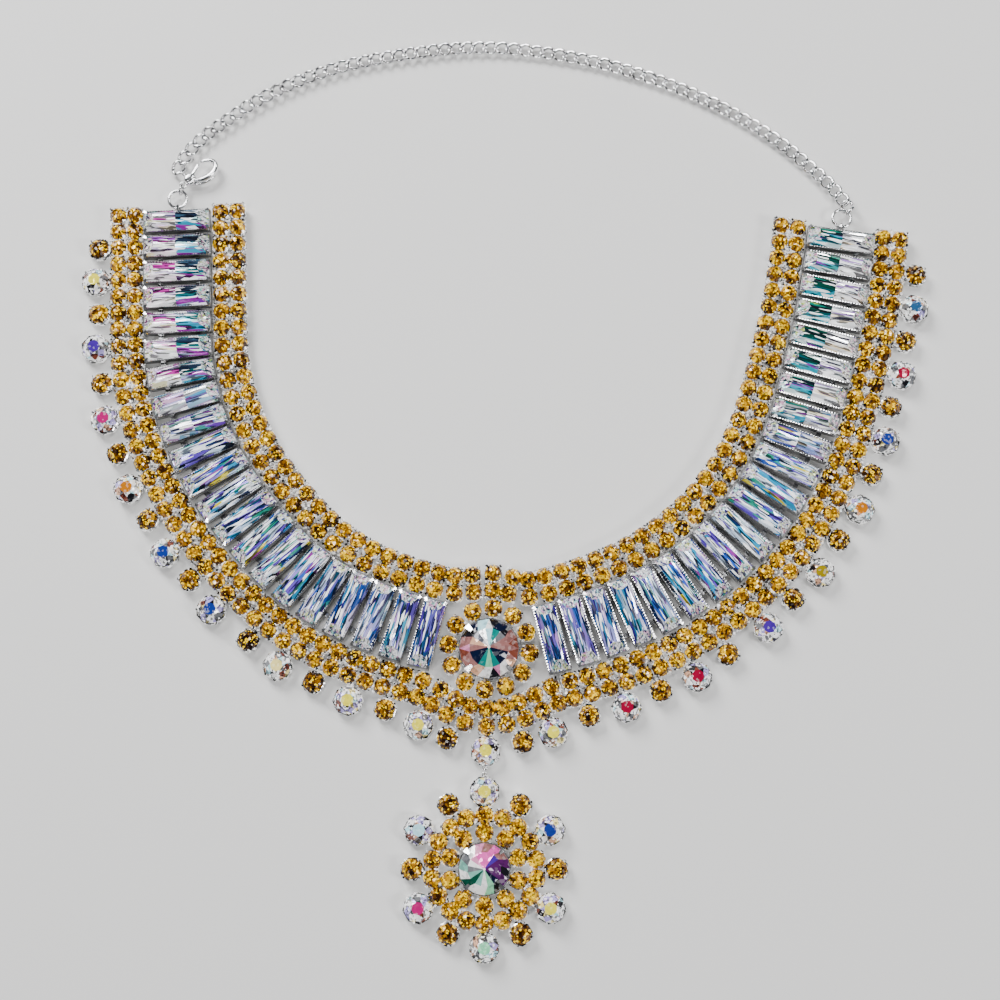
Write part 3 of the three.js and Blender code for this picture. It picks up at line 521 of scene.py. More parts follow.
baguette_material = baguette_glass()
baguette_points, baguette_facets = baguette_shape()
FAN_FACETS = len(baguette_facets[0])
chance = np.random.default_rng(21)
for side_name, row in (("left", left_row), ("right", right_row)):
    points = placed(baguette_points, *band_frames(row))
    facets = repeated(baguette_facets, STONES_PER_SIDE, len(baguette_points))
    names = [f"baguette_{side_name}_{number:02d}" for number in range(1, STONES_PER_SIDE + 1)]
    stones = add_piece(
        f"baguette_stones_{side_name}", [(points, facets)], baguette_material, names)
    facet, point = facet_numbers(stones)
    stone, corner = np.divmod(point, len(baguette_points))
    is_fan = facet < FAN_FACETS * STONES_PER_SIDE
    slant = chance.uniform(-0.1, 0.1, STONES_PER_SIDE)[stone]
    along = baguette_points[corner, 1]
    across = baguette_points[corner, 0] * (-1 if side_name == "left" else 1)
    seed = 11.3 * stone + np.where(is_fan, 1.7 * (facet % FAN_FACETS) + 3, 0)
    seed += RIGHT_SEED if side_name == "right" else 0
    set_vectors(stones, "streak", np.stack([along, across + slant * along, seed], -1))
    nearness = stone if side_name == "left" else STONES_PER_SIDE - 1 - stone
    # Painted light split: full on the stones furthest from the centre, fading out towards the middle
    painted_light_split = np.clip((8.5 - nearness) / 2.5, 0, 1)
    dusk = np.clip((nearness - 15.0) / 4.0, 0, 1) * 0.9
    set_vectors(stones, "look", np.stack([painted_light_split, dusk, np.where(is_fan, 0.75, 0.0)], -1))

# Borders. Two rows of round topaz stones run along each side of the baguettes and bulge round the
# halo. Every stone sits in a pressed cup with four claws; the cups are soldered where they touch,
# which leaves a small open diamond between each four of them.
CUP_PITCH = 3.65
CUP_HEIGHT = 1.8
CUP_FACE = 3.62
TOPAZ_RADIUS = 1.84
TOPAZ_RISE = 1.4
INNER_COLUMNS, OUTER_COLUMNS = 61, 81
BORDER_OFFSET = 11.2
BORDER_BEYOND = 1.2
HALO_REACH = 10.45
BULGE_REACH = 1.25 * HALO_REACH
BORDER_BULGE = HALO_REACH + CUP_PITCH - BORDER_OFFSET
MEETING_PLAY = 0.15


def border_frames(side, share):
    """Frames at shares of a border's own length. The border is the band's line moved to its left or
    right, and further by half a cosine wave round the halo; its length is summed over short chords."""
    distance = np.linspace(-BORDER_BEYOND, BAND_LENGTH + BORDER_BEYOND, 4001)
    place, _, left = band_frames(distance)
    away = np.minimum(np.abs(distance - BAND_LENGTH / 2) / BULGE_REACH, 1)
    bulge = (BORDER_BULGE - side * CENTRE_BELOW_BAND) * (1 + np.cos(np.pi * away)) / 2
    line = place + side * (BORDER_OFFSET + bulge)[:, None] * left
    run = np.concatenate([[0], np.cumsum(np.linalg.norm(np.diff(line, axis=0), axis=1))])
    slope = np.gradient(line, axis=0)
    where = np.asarray(share) * run[-1]
    point = np.stack([np.interp(where, run, line[:, axis]) for axis in (0, 1)], -1)
    ahead = np.stack([np.interp(where, run, slope[:, axis]) for axis in (0, 1)], -1)
    ahead /= np.linalg.norm(ahead, axis=1, keepdims=True)
    return point, ahead, np.stack([-ahead[:, 1], ahead[:, 0]], -1), run[-1]


def half_border(side, total, first, last):
    """Frames at every half column of one half of a border, which leaves play at the meeting line"""
    length = border_frames(side, [0.0])[3]
    start = first / total + (MEETING_PLAY / length if first > 0 else 0)
    end = last / total - (MEETING_PLAY / length if last < total else 0)
    return border_frames(side, np.linspace(start, end, 2 * (last - first) + 1))[:3]


def eight_rings(widths, heights):
    """Rings of eight corners with flats square to the axes: each ring by its width across flats"""
    angle = np.pi * (2 * np.arange(8) + 1) / 8
    radius = np.reshape(widths, (-1, 1)) / (2 * np.cos(np.pi / 8))
    rings = [radius * np.cos(angle), radius * np.sin(angle)]
    level = np.broadcast_to(np.reshape(heights, (-1, 1)), rings[0].shape)
    return np.stack([*rings, level], -1).reshape(-1, 3)


def cup_shape(width, height, stone_radius, stone_rise, claw_width=0.62, claw_reach=0.3):
    """Cup with a turned-in lip round the stone, and four claws at its diagonals"""
    lip = min(2 * stone_radius, width) - 0.1
    widths = [width - 0.3, width, width, lip, lip]
    heights = [0, 0.25, height - 0.05, height + 0.08, height - 0.4]
    cup = (eight_rings(widths, heights), shell_facets(5, 8))
    reach, foot_height = 0.5 * width + claw_reach, height - 0.55
    tip, tip_height = stone_radius - 0.12, height + 0.7 * stone_rise
    corners = [(x * np.sqrt(0.5), y * np.sqrt(0.5)) for x in (-1, 1) for y in (-1, 1)]
    claws = [
        claw((x * reach, y * reach, foot_height), (x * tip, y * tip, tip_height), claw_width)
        for x, y in corners
    ]
    return merged(cup, *claws)


def brilliant(radius, base, rise, table):
    """Round stone: a table of eight corners, stars and kites below it, and two small facets over each
    sixteenth of the girdle, closed by a flat back. Points lie on three rings by share of the radius."""
    def ring(count, share, turn, height):
        angle = 2 * np.pi * (np.arange(count) + turn) / count
        reach = share * radius
        return np.stack([reach * np.cos(angle), reach * np.sin(angle), 0 * angle + height], -1)

    middle_share = 0.5 * (1 + table) + 0.04
    points = np.concatenate([
        ring(8, table, 0, base + rise), ring(8, middle_share, 0.5, base + 0.58 * rise),
        ring(16, 1.0, 0, base)])
    k = np.arange(8)
    after, before = (k + 1) % 8, (k - 1) % 8
    stars = np.stack([k, 8 + k, after], -1)
    kites = np.stack([k, 8 + before, 16 + 2 * k, 8 + k], -1)
    lower = np.concatenate([
        np.stack([8 + k, 16 + 2 * k, 17 + 2 * k], -1),
        np.stack([8 + k, 17 + 2 * k, 16 + (2 * k + 2) % 16], -1)])
    return points, [k[None], stars, kites, lower, 16 + np.arange(16)[None, ::-1]]


def topaz_glass():
    """Amber glass over foil: fragments of brown, amber and bright yellow inside every facet, painted
    reflections, whose fine shards are painted as yellow glints that glow by emission or as dark
    reflections
    """
    material, tree, shader = new_material("topaz glass", Roughness=0.1, Metallic=0.1)
    shader.inputs["Coat Weight"].default_value = 0.1
    cut = new_node(tree, "ShaderNodeAttribute", {"attribute_name": "cut"}).outputs["Vector"]
    look = new_node(tree, "ShaderNodeAttribute", {"attribute_name": "look"}).outputs["Vector"]
    painted_facet_tone, warmth, _ = new_node(tree, "ShaderNodeSeparateXYZ", Vector=look).outputs
    glass = streaks_of(tree, cut, 1.9, 3.1, 0.5)
    shade = reckon(tree, "MULTIPLY_ADD", glass["Shade"], 0.62, reckon(tree, "ADD", painted_facet_tone, warmth))
    colour = colour_steps(tree, shade, [
        (0.0, (0.006, 0.001, 0.0)), (0.15, (0.03, 0.008, 0.0)), (0.28, (0.1, 0.034, 0.0)),
        (0.41, (0.23, 0.088, 0.0)), (0.54, (0.42, 0.185, 0.0)), (0.68, (0.62, 0.31, 0.0)),
        (0.83, (0.85, 0.52, 0.0))])
    # Painted yellow glints and painted dark reflections in the fine shards
    colour = flashes(tree, glass, colour, 0.6, 0.7, (1.0, 0.64, 0.0, 1), (0.012, 0.002, 0.0, 1))
    # Painted glow: the colour glows faintly by emission, the glinting shards in yellow
    painted_glow = blended(tree, glass["Bright"], blended(tree, 0.14, (0, 0, 0, 1), colour), (1.0, 0.62, 0.0, 1))
    tree.links.new(painted_glow, shader.inputs["Emission Color"])
    shader.inputs["Emission Strength"].default_value = 1.1
    tree.links.new(colour, shader.inputs["Base Color"])
    tree.links.new(glass["Normal"], shader.inputs["Normal"])
    return material


# Cup plating with painted reflections: a third of its small cells painted near black, another third painted as
# white glints that glow
cup_plating_with_painted_reflections = plating("cup plating with painted reflections", (0.93, 0.93, 0.94, 1), (0.34, 0.33, 0.33, 1), 0.2, 2600.0, 0.34)
topaz_material = topaz_glass()
cup_and_claws = cup_shape(CUP_FACE, CUP_HEIGHT, TOPAZ_RADIUS, TOPAZ_RISE)
topaz_stone = brilliant(TOPAZ_RADIUS, CUP_HEIGHT - 0.05, TOPAZ_RISE + 0.05, 0.6)


def add_topaz_stones(name, kinds, nodes, warmth=0.0):
    """Piece of topaz stones from (shape, frames) pairs. Each facet gets its own tone, a painted
    reflection, and each stone a turn and a little warmth of its own, by chance."""
    parts, cuts, looks, start = [], [], [], 0
    for (points, facets), (place, ahead, left) in kinds:
        copies = len(place)
        turn = chance.uniform(0, 2 * np.pi, copies)
        turned = np.cos(turn)[:, None] * ahead + np.sin(turn)[:, None] * left
        beside = np.stack([-turned[:, 1], turned[:, 0]], -1)
        groups = repeated(facets, copies, len(points))
        parts.append((placed(points, place, turned, beside), groups))
        stone_warmth = chance.normal(0, 0.05, copies) + warmth
        for group in groups:
            stone, corner = np.divmod(group.ravel(), len(points))
            # Painted reflection: every facet its own tone, by chance
            painted_facet_tone = np.repeat(chance.uniform(0, 0.38, len(group)), group.shape[1])
            cuts.append(np.stack([points[corner, 0], points[corner, 1], 7.7 * (stone + start)], -1))
            looks.append(np.stack([painted_facet_tone, stone_warmth[stone], 0 * painted_facet_tone], -1))
        start += copies
    piece = add_piece(name, parts, topaz_material, nodes)
    set_vectors(piece, "cut", np.concatenate(cuts))
    set_vectors(piece, "look", np.concatenate(looks))
    return piece


def cell_frames(frames, row):
    """Frames in the middle of a row's cells, from the frames at every half column"""
    place, ahead, left = (values[1::2] for values in frames)
    return place + row * left, ahead, left


def all_cells(frames):
    """Frames of the cells of both rows"""
    rows = [cell_frames(frames, row) for row in (0.5 * CUP_PITCH, -0.5 * CUP_PITCH)]
    return tuple(np.concatenate(values) for values in zip(*rows))


def copies_of(shape, frames):
    """A (points, facets) pair for all copies of a shape"""
    return placed(shape[0], *frames), repeated(shape[1], len(frames[0]), len(shape[0]))


inner_middle, outer_middle = INNER_COLUMNS // 2, OUTER_COLUMNS // 2
for side_name, first, last in (("left", 0, inner_middle), ("right", inner_middle, INNER_COLUMNS)):
    cells = all_cells(half_border(1, INNER_COLUMNS, first, last))
    cups = [copies_of(cup_and_claws, cells)]
    add_piece(f"inner_border_cups_{side_name}", cups, cup_plating_with_painted_reflections)
    node = f"inner_border_{side_name}"
    add_topaz_stones(f"inner_border_stones_{side_name}", [(topaz_stone, cells)], [node])

# Drops. Below the outer border hang larger stones in plain cups, clear and topaz by turns out from
# the middle one, each joined to the border by a short soldered neck. The clear ones have an
# iridescent coat: a table of one strong colour in a crown of white, grey and pastel facets, each
# facet's colour a painted reflection.
CLOSE_DROPS = (0.037, 0.074)
EVEN_DROPS = np.linspace(0.138, 0.944, 17)
NECK = 0.15
TOPAZ_DROP_RADIUS = 2.25
CLEAR_DROP_RADIUS = 2.95
DROP_CUP_HEIGHT = 1.7
# Colours of the painted reflections in the facets of the clear and pointed stones, by name
GLASS = {
    "white": (1.0, 1.0, 1.0), "ice": (0.45, 0.78, 0.88), "grey": (0.16, 0.165, 0.18),
    "coal": (0.008, 0.008, 0.012), "lilac": (0.42, 0.36, 0.75), "pink": (0.72, 0.25, 0.45),
    "peach": (0.72, 0.4, 0.25), "rust": (0.2, 0.05, 0.03), "straw": (0.85, 0.75, 0.06),
    "cream": (0.95, 0.8, 0.3), "mint": (0.25, 0.7, 0.42), "teal": (0.0, 0.2, 0.18),
    "blue": (0.01, 0.03, 0.25), "steel": (0.02, 0.09, 0.22), "violet": (0.06, 0.015, 0.3),
    "crimson": (0.3, 0.0, 0.03), "magenta": (0.45, 0.005, 0.15), "amber": (0.5, 0.16, 0.0),
    "olive": (0.3, 0.22, 0.0), "navy": (0.002, 0.006, 0.03), "green": (0.0, 0.07, 0.04),
    "purple": (0.08, 0.008, 0.1), "rose": (0.31, 0.135, 0.125), "fuchsia": (0.8, 0.1, 0.45),
    "aqua": (0.2, 0.5, 0.42),
}
CROWN_COLOURS = (
    "white", "white", "white", "white", "white", "grey", "grey", "grey", "ice", "lilac", "coal",
    "peach", "cream", "lilac", "rust")
LEFT_TABLES = ("straw", "violet", "magenta", "amber", "blue", "blue", "cream", "straw", "straw")
RIGHT_TABLES = (
    "straw", "straw", "crimson", "crimson", "violet", "olive", "amber", "blue", "crimson", "steel")


def coloured_glass(name, grain, bright, dark):
    """Clear glass with an iridescent coat: every facet shows one colour, a painted reflection, broken up
    by small shards, of which given shares are painted as flashing glints or as dark reflections. The
    colour glows faintly by emission, and the glinting shards glow white."""
    material, tree, shader = new_material(name, Roughness=0.07, Metallic=0.12)
    shader.inputs["Coat Weight"].default_value = 0.15
    tint = new_node(tree, "ShaderNodeAttribute", {"attribute_name": "tint"}).outputs["Color"]
    place = tree.nodes.new("ShaderNodeTexCoord").outputs["Object"]
    scaled = new_node(tree, "ShaderNodeVectorMath", {"operation": "SCALE"}, Vector=place)
    scaled.inputs["Scale"].default_value = grain
    glass = streaks_of(tree, scaled.outputs[0], 1.7, 2.6, 0.25)
    look = new_node(tree, "ShaderNodeAttribute", {"attribute_name": "look"}).outputs["Vector"]
    lively = new_node(tree, "ShaderNodeSeparateXYZ", Vector=look).outputs[0]
    bright = reckon(tree, "MULTIPLY", lively, bright)
    colour = flashes(tree, glass, tint, bright, reckon(tree, "MULTIPLY", lively, dark))
    tree.links.new(colour, shader.inputs["Base Color"])
    tree.links.new(glass["Normal"], shader.inputs["Normal"])
    # Painted glow: the colour glows faintly by emission, and the glinting shards glow white
    faint_painted_glow = blended(tree, 0.2, (0, 0, 0, 1), colour)
    painted_glow = blended(tree, reckon(tree, "MULTIPLY", glass["Bright"], bright), faint_painted_glow, (1.0, 1.0, 1.0, 1))
    tree.links.new(painted_glow, shader.inputs["Emission Color"])
    shader.inputs["Emission Strength"].default_value = 1.2
    return material


iridescent_material = coloured_glass("iridescent glass", 900.0, 0.7, 0.75)
topaz_drop_cup = cup_shape(
    2 * TOPAZ_DROP_RADIUS, DROP_CUP_HEIGHT, TOPAZ_DROP_RADIUS - 0.15, 1.0, 0.5, 0.1)
topaz_drop_stone = brilliant(TOPAZ_DROP_RADIUS - 0.13, DROP_CUP_HEIGHT - 0.05, 1.05, 0.5)
clear_drop_cup = cup_shape(
    2 * CLEAR_DROP_RADIUS, DROP_CUP_HEIGHT, CLEAR_DROP_RADIUS - 0.12, 1.1, 0.35, 0.02)
clear_drop_stone = brilliant(CLEAR_DROP_RADIUS - 0.1, DROP_CUP_HEIGHT - 0.05, 1.65, 0.46)


def neck_shape(radius):
    """Short bar from a drop's cup towards the border: a box whose length runs along y"""
    near, far = radius - 0.3, radius + 0.35
    flat = np.array([[0.55, near], [0.55, far], [-0.55, far], [-0.55, near]])
    levels = [np.column_stack([flat, np.full(4, height)]) for height in (0.25, 1.35)]
    return np.concatenate(levels), shell_facets(2, 4)


def liveliness(groups, shares):
    """Values for the look attribute: how much of their painted glints and dark reflections the facets
    of each group keep
    """
    return np.concatenate([np.full((group.size, 3), share) for group, share in zip(groups, shares)])


def add_clear_stones(name, shape, frames, tables, nodes=()):
    """Clear stones, each with its own table colour, and the other facets' colours drawn by chance; all
    these colours are painted reflections
    """
    points, facets = shape
    place, ahead, left = frames
    copies = len(place)
    turn = chance.uniform(0, 2 * np.pi, copies)
    turned = np.cos(turn)[:, None] * ahead + np.sin(turn)[:, None] * left
    beside = np.stack([-turned[:, 1], turned[:, 0]], -1)
    groups = repeated(facets, copies, len(points))
    stones = [(placed(points, place, turned, beside), groups)]
    piece = add_piece(name, stones, iridescent_material, nodes)
    crown = np.array([GLASS[colour] for colour in CROWN_COLOURS])
    tints = [np.array([GLASS[colour] for colour in tables])]
    tints += [crown[chance.integers(0, len(crown), len(group))] for group in groups[1:]]
    per_corner = [np.repeat(tint, group.shape[1], axis=0) for tint, group in zip(tints, groups)]
    set_vectors(piece, "tint", np.concatenate(per_corner))
    set_vectors(piece, "look", liveliness(groups, [0.15, 1, 1, 1, 1]))
    return piece


def hang(frames, half_columns, radius, edge):
    """Frames of drops whose cups end a neck's length below the edge of the row, at half columns"""
    place, ahead, left = (values[half_columns] for values in frames)
    return place - (edge + NECK + radius) * left, ahead, left


drop_steps = np.round(OUTER_COLUMNS * np.concatenate([CLOSE_DROPS, EVEN_DROPS])).astype(int)
middle_place = 2 * outer_middle + 1
drop_places = np.concatenate([middle_place - drop_steps[::-1], [middle_place], middle_place + drop_steps])
is_clear = np.arange(len(drop_places)) % 2 == 1
for side_name, first, last, tables in (
    ("left", 0, outer_middle, LEFT_TABLES), ("right", outer_middle, OUTER_COLUMNS, RIGHT_TABLES)
):
    half = half_border(-1, OUTER_COLUMNS, first, last)
    here = (drop_places > 2 * first) & (drop_places < 2 * last)
    topaz_drops = hang(half, drop_places[here & ~is_clear] - 2 * first, TOPAZ_DROP_RADIUS, CUP_PITCH)
    clear_drops = hang(half, drop_places[here & is_clear] - 2 * first, CLEAR_DROP_RADIUS, CUP_PITCH)
    cells = all_cells(half)
    add_piece(f"outer_border_cups_{side_name}", [
        copies_of(cup_and_claws, cells),
        copies_of(topaz_drop_cup, topaz_drops), copies_of(neck_shape(TOPAZ_DROP_RADIUS), topaz_drops),
        copies_of(clear_drop_cup, clear_drops), copies_of(neck_shape(CLEAR_DROP_RADIUS), clear_drops),
    ], cup_plating_with_painted_reflections)
    node = f"outer_border_{side_name}"
    add_topaz_stones(f"outer_border_stones_{side_name}", [(topaz_stone, cells)], [node])
    add_topaz_stones(f"topaz_drops_{side_name}", [(topaz_drop_stone, topaz_drops)], (), -0.14)
    add_clear_stones(f"clear_drops_{side_name}", clear_drop_stone, clear_drops, tables)

# Centre stone. A large pointed round stone with an iridescent foil, held in a deep setting by four
# broad claws at its diagonals, in a halo of twelve topaz stones whose cups are soldered in a ring.
# The stone's facet colours are painted reflections.
CENTRE_RADIUS = 6.45
CENTRE_SETTING_HEIGHT = 2.6
CENTRE_STONE_TOP = 5.5
HALO_RADIUS = 8.45
HALO_STONES = 12
HALO_FIRST_ANGLE = 84.0
HALO_CUP_HEIGHT = 2.3
# Colours of the painted reflections in the centre stone's facets
CENTRE_POINT = (
    "rose", "rose", "grey", "teal", "ice", "white", "navy", "peach",
    "rose", "navy", "navy", "teal", "mint", "teal", "navy", "navy")
CENTRE_BELT = (
    "rose", "rose", "coal", "navy", "white", "ice", "coal", "rose",
    "pink", "rose", "rose", "peach", "white", "pink", "white", "rose")
CENTRE_BELT_BETWEEN = (
    "rust", "rose", "navy", "coal", "ice", "navy", "coal", "rose",
    "rust", "rose", "peach", "white", "coal", "white", "peach", "rust")


pointed_material = coloured_glass("pointed glass", 620.0, 0.07, 0.3)


def pointed_stone(radius, base, top):
    """Pointed stone: sixteen long wedges from a small flat tip down to a belt, and two rows of small
    triangles from the belt to the girdle, closed by a flat back"""
    def ring(share, turn, height):
        angle = 2 * np.pi * (np.arange(16) + turn) / 16
        reach = share * radius
        return np.stack([reach * np.cos(angle), reach * np.sin(angle), 0 * angle + height], -1)

    rise = top - base
    points = np.concatenate([
        ring(0.05, 0.5, top), ring(0.66, 0.5, base + 0.5 * rise),
        ring(1.0, 0.0, base + 0.06 * rise), ring(1.0, 0.0, base)])
    k = np.arange(16)
    before, after = (k - 1) % 16, (k + 1) % 16
    wedges = np.stack([before, 16 + before, 16 + k, k], -1)
    belt = np.stack([16 + before, 32 + k, 16 + k], -1)
    between = np.stack([16 + k, 32 + k, 32 + after], -1)
    girdle = np.stack([32 + k, 48 + k, 48 + after, 32 + after], -1)
    return points, [wedges, belt, between, girdle, k[None], 48 + k[None, ::-1]]


def add_pointed_stone(name, shape, centre, colours, nodes):
    """Pointed stone with its facets' colours by name, painted reflections: wedges, belt, and the
    triangles between
    """
    points, facets = shape
    piece = add_piece(name, [(points + [*centre, 0], facets)], pointed_material, nodes)
    wedges, belt, between = (np.array([GLASS[colour] for colour in names]) for names in colours)
    plain = np.array([GLASS["white"]])
    tints = [wedges, belt, between, np.tile([GLASS["grey"]], (16, 1)), plain, plain]
    per_corner = [np.repeat(tint, group.shape[1], axis=0) for tint, group in zip(tints, facets)]
    set_vectors(piece, "tint", np.concatenate(per_corner))
    set_vectors(piece, "look", liveliness(facets, [0.5, 1, 1, 1, 1, 1]))
    return piece


def turned_rings(radii, heights, around):
    """Rings of a turned profile: each ring by its radius and height"""
    angle = 2 * np.pi * np.arange(around) / around
    radii = np.reshape(radii, (-1, 1))
    flat = [radii * np.cos(angle), radii * np.sin(angle)]
    level = np.broadcast_to(np.reshape(heights, (-1, 1)), flat[0].shape)
    return np.stack([*flat, level], -1).reshape(-1, 3)


def setting_parts(radius, height, top, centre, claw_width):
    """Deep round setting with a rolled lip, and four broad claws folded over the stone"""
    radii = [radius - 0.4, radius - 0.05, radius, radius, radius - 0.12, radius - 0.34, radius - 0.42]
    heights = [0, 0.3, 1.2, height - 0.2, height + 0.1, height + 0.1, height - 0.7]
    parts = [(turned_rings(radii, heights, 48) + [*centre, 0], shell_facets(7, 48))]
    for x, y in ((-1, -1), (-1, 1), (1, -1), (1, 1)):
        foot = np.array([x, y]) * (radius - 0.02) * np.sqrt(0.5)
        tip = np.array([x, y]) * 0.78 * radius * np.sqrt(0.5)
        points, facets = claw((*foot, height - 0.9), (*tip, height + 0.5 * (top - height)), claw_width)
        parts.append((points + [*centre, 0], facets))
    return parts


def circle_frames(centre, radius, degrees):
    """Frames on a circle, at angles in degrees: ahead runs counter-clockwise and left points inwards"""
    angle = np.radians(degrees)
    out = np.stack([np.cos(angle), np.sin(angle)], -1)
    return np.asarray(centre) + radius * out, np.stack([-out[:, 1], out[:, 0]], -1), -out


add_pointed_stone(
    "centre_pointed_stone",
    pointed_stone(CENTRE_RADIUS - 0.3, CENTRE_SETTING_HEIGHT, CENTRE_STONE_TOP), (0, 0),
    (CENTRE_POINT, CENTRE_BELT, CENTRE_BELT_BETWEEN), ["centre_stone"])
add_piece(
    "centre_setting", setting_parts(CENTRE_RADIUS, CENTRE_SETTING_HEIGHT, CENTRE_STONE_TOP, (0, 0), 1.25),
    bright_plating)
halo_cells = circle_frames((0, 0), HALO_RADIUS, HALO_FIRST_ANGLE + 30.0 * np.arange(HALO_STONES))
halo_cup = cup_shape(3.7, HALO_CUP_HEIGHT, 1.85, TOPAZ_RISE, 0.6, 0.12)
halo_stone = brilliant(1.92, HALO_CUP_HEIGHT - 0.05, TOPAZ_RISE, 0.6)
add_piece("halo_cups", [copies_of(halo_cup, halo_cells)], cup_plating_with_painted_reflections)
add_topaz_stones("halo_stones", [(halo_stone, halo_cells)], ["centre_halo"], 0.02)

# Pendant. A smaller pointed stone in a ring of ten topaz stones, a second ring of eighteen, and
# twelve drops around them, clear and topaz by turns. The cups are soldered into one flat rosette.
PENDANT_CENTRE = np.array([-0.870, -44.332])
PENDANT_RADIUS = 5.4
PENDANT_SETTING_HEIGHT = 2.4
PENDANT_STONE_TOP = 4.9
PENDANT_INNER_RADIUS = 7.25
PENDANT_OUTER_RADIUS = 10.65
PENDANT_CUP_DEPTH = 3.1
# Colours of the painted reflections in the pendant stone's facets and in its drops' tables
PENDANT_POINT = (
    "purple", "purple", "violet", "fuchsia", "fuchsia", "fuchsia", "pink", "white",
    "grey", "aqua", "green", "aqua", "white", "mint", "navy", "purple")
PENDANT_BELT = (
    "coal", "purple", "rose", "fuchsia", "rose", "pink", "white", "grey",
    "aqua", "white", "green", "white", "white", "mint", "coal", "purple")
PENDANT_BELT_BETWEEN = PENDANT_BELT[1:] + PENDANT_BELT[:1]
PENDANT_TABLES = ("straw", "ice", "magenta", "mint", "straw", "blue")

add_pointed_stone(
    "pendant_pointed_stone",
    pointed_stone(PENDANT_RADIUS - 0.3, PENDANT_SETTING_HEIGHT, PENDANT_STONE_TOP),
    PENDANT_CENTRE, (PENDANT_POINT, PENDANT_BELT, PENDANT_BELT_BETWEEN), ["pendant_stone"])
add_piece(
    "pendant_setting",
    setting_parts(PENDANT_RADIUS, PENDANT_SETTING_HEIGHT, PENDANT_STONE_TOP, PENDANT_CENTRE, 1.1),
    bright_plating)
inner_cells = circle_frames(PENDANT_CENTRE, PENDANT_INNER_RADIUS, 90 + 36.0 * np.arange(10))
outer_cells = circle_frames(PENDANT_CENTRE, PENDANT_OUTER_RADIUS, 90 + 20.0 * np.arange(18))
drop_start = PENDANT_OUTER_RADIUS + PENDANT_CUP_DEPTH / 2 + NECK
drop_angles = 90 + 60.0 * np.arange(6)
pendant_clear = circle_frames(PENDANT_CENTRE, drop_start + CLEAR_DROP_RADIUS, drop_angles)
pendant_topaz = circle_frames(PENDANT_CENTRE, drop_start + TOPAZ_DROP_RADIUS, drop_angles + 30)
pendant_cup = cup_shape(3.66, CUP_HEIGHT, 1.8, TOPAZ_RISE, 0.6, 0.15)
pendant_stone = brilliant(1.88, CUP_HEIGHT - 0.05, TOPAZ_RISE, 0.6)
add_piece("pendant_cups", [
    copies_of(pendant_cup, inner_cells), copies_of(pendant_cup, outer_cells),
    copies_of(clear_drop_cup, pendant_clear), copies_of(neck_shape(CLEAR_DROP_RADIUS), pendant_clear),
    copies_of(topaz_drop_cup, pendant_topaz), copies_of(neck_shape(TOPAZ_DROP_RADIUS), pendant_topaz),
], cup_plating_with_painted_reflections)
add_topaz_stones(
    "pendant_topaz_stones",
    [(pendant_stone, inner_cells), (pendant_stone, outer_cells)],
    ["pendant_inner_ring", "pendant_outer_ring"], 0.08)
add_topaz_stones("pendant_topaz_drops", [(topaz_drop_stone, pendant_topaz)], (), -0.1)
add_clear_stones("pendant_clear_stones", clear_drop_stone, pendant_clear, PENDANT_TABLES)

# Rings and loops. Round wire, bent and closed: two flat loops with a link between them for the
# pendant, one ring at each end of the band, and a smaller one that carries the clasp.
WIRE_HEIGHT = 1.449


def wire_ring(place, radius, wire, heading=None, height=WIRE_HEIGHT):
    """Ring of round wire: lying flat, or upright in the plane of a heading in degrees"""
    angle = 2 * np.pi * np.arange(40) / 40
    up = np.array([0.0, 0.0, 1.0])
    if heading is None:
        first, second = np.array([1.0, 0, 0]), np.array([0, 1.0, 0])
    else:
        first, second = np.array([np.cos(np.radians(heading)), np.sin(np.radians(heading)), 0]), up
    out = np.cos(angle)[:, None] * first + np.sin(angle)[:, None] * second
    axis = np.tile(np.cross(first, second), (40, 1))
    path = np.array([*place, height]) + radius * out
    points, facets = tube(path, out, axis, wire, wire, 10, closed=True)
    return points, [group[:, ::-1] for group in facets]


LOOPS = [(-0.870, -24.232), (-0.870, -25.632)]
add_piece(
    "pendant_loops", [wire_ring(place, 0.45, 0.1) for place in LOOPS],
    bright_plating, smooth=True)
add_piece(
    "pendant_wire_link", [wire_ring((-0.870, -24.932), 0.7, 0.15, 90)],
    bright_plating, ["pendant_link"], smooth=True)
LEFT_RING, RIGHT_RING = (-68.710, 99.350), (77.356, 94.868)
for name, place in (("left", LEFT_RING), ("right", RIGHT_RING)):
    add_piece(
        f"end_wire_ring_{name}", [wire_ring(place, 2.0, 0.35)],
        bright_plating, [f"end_ring_{name}"], smooth=True)
add_piece(
    "clasp_wire_ring", [wire_ring((-68.002, 101.529), 1.139, 0.22, 72)],
    bright_plating, ["clasp_ring"], smooth=True)

# Chain. A curb chain of twisted oval links, each hooked through the last; the first is turned upright
# round the wire of the right end ring, and the free end lies beside the clasp.
LINK_LENGTH, LINK_WIDTH, LINK_WIRE = 4.15, 3.05, 0.76
LINK_PITCH = 2.6
LINK_TWIST = np.radians(38)
FIRST_LINK_TWIST = np.radians(-85)
FIRST_LINK = 2.93
CHAIN_HEIGHT = 0.78
CHAIN_FALL = 3.0
CHAIN_ROUTE = [
    (77.36, 94.87), (78.8, 97.8), (77.5, 99.9), (75.4, 102.8), (72.1, 106.2), (64.8, 112.9), (55.5, 119.4),
    (45.7, 124.7), (35.1, 129.1), (24.1, 132.5), (12.7, 134.8), (2.0, 136.0), (-8.9, 135.8), (-20.1, 134.3),
    (-31.3, 132.0), (-41.9, 128.4), (-51.8, 123.3), (-58.5, 118.5), (-63.2, 114.8), (-66.9, 110.7),
    (-69.0, 107.0), (-70.0, 104.6),
]


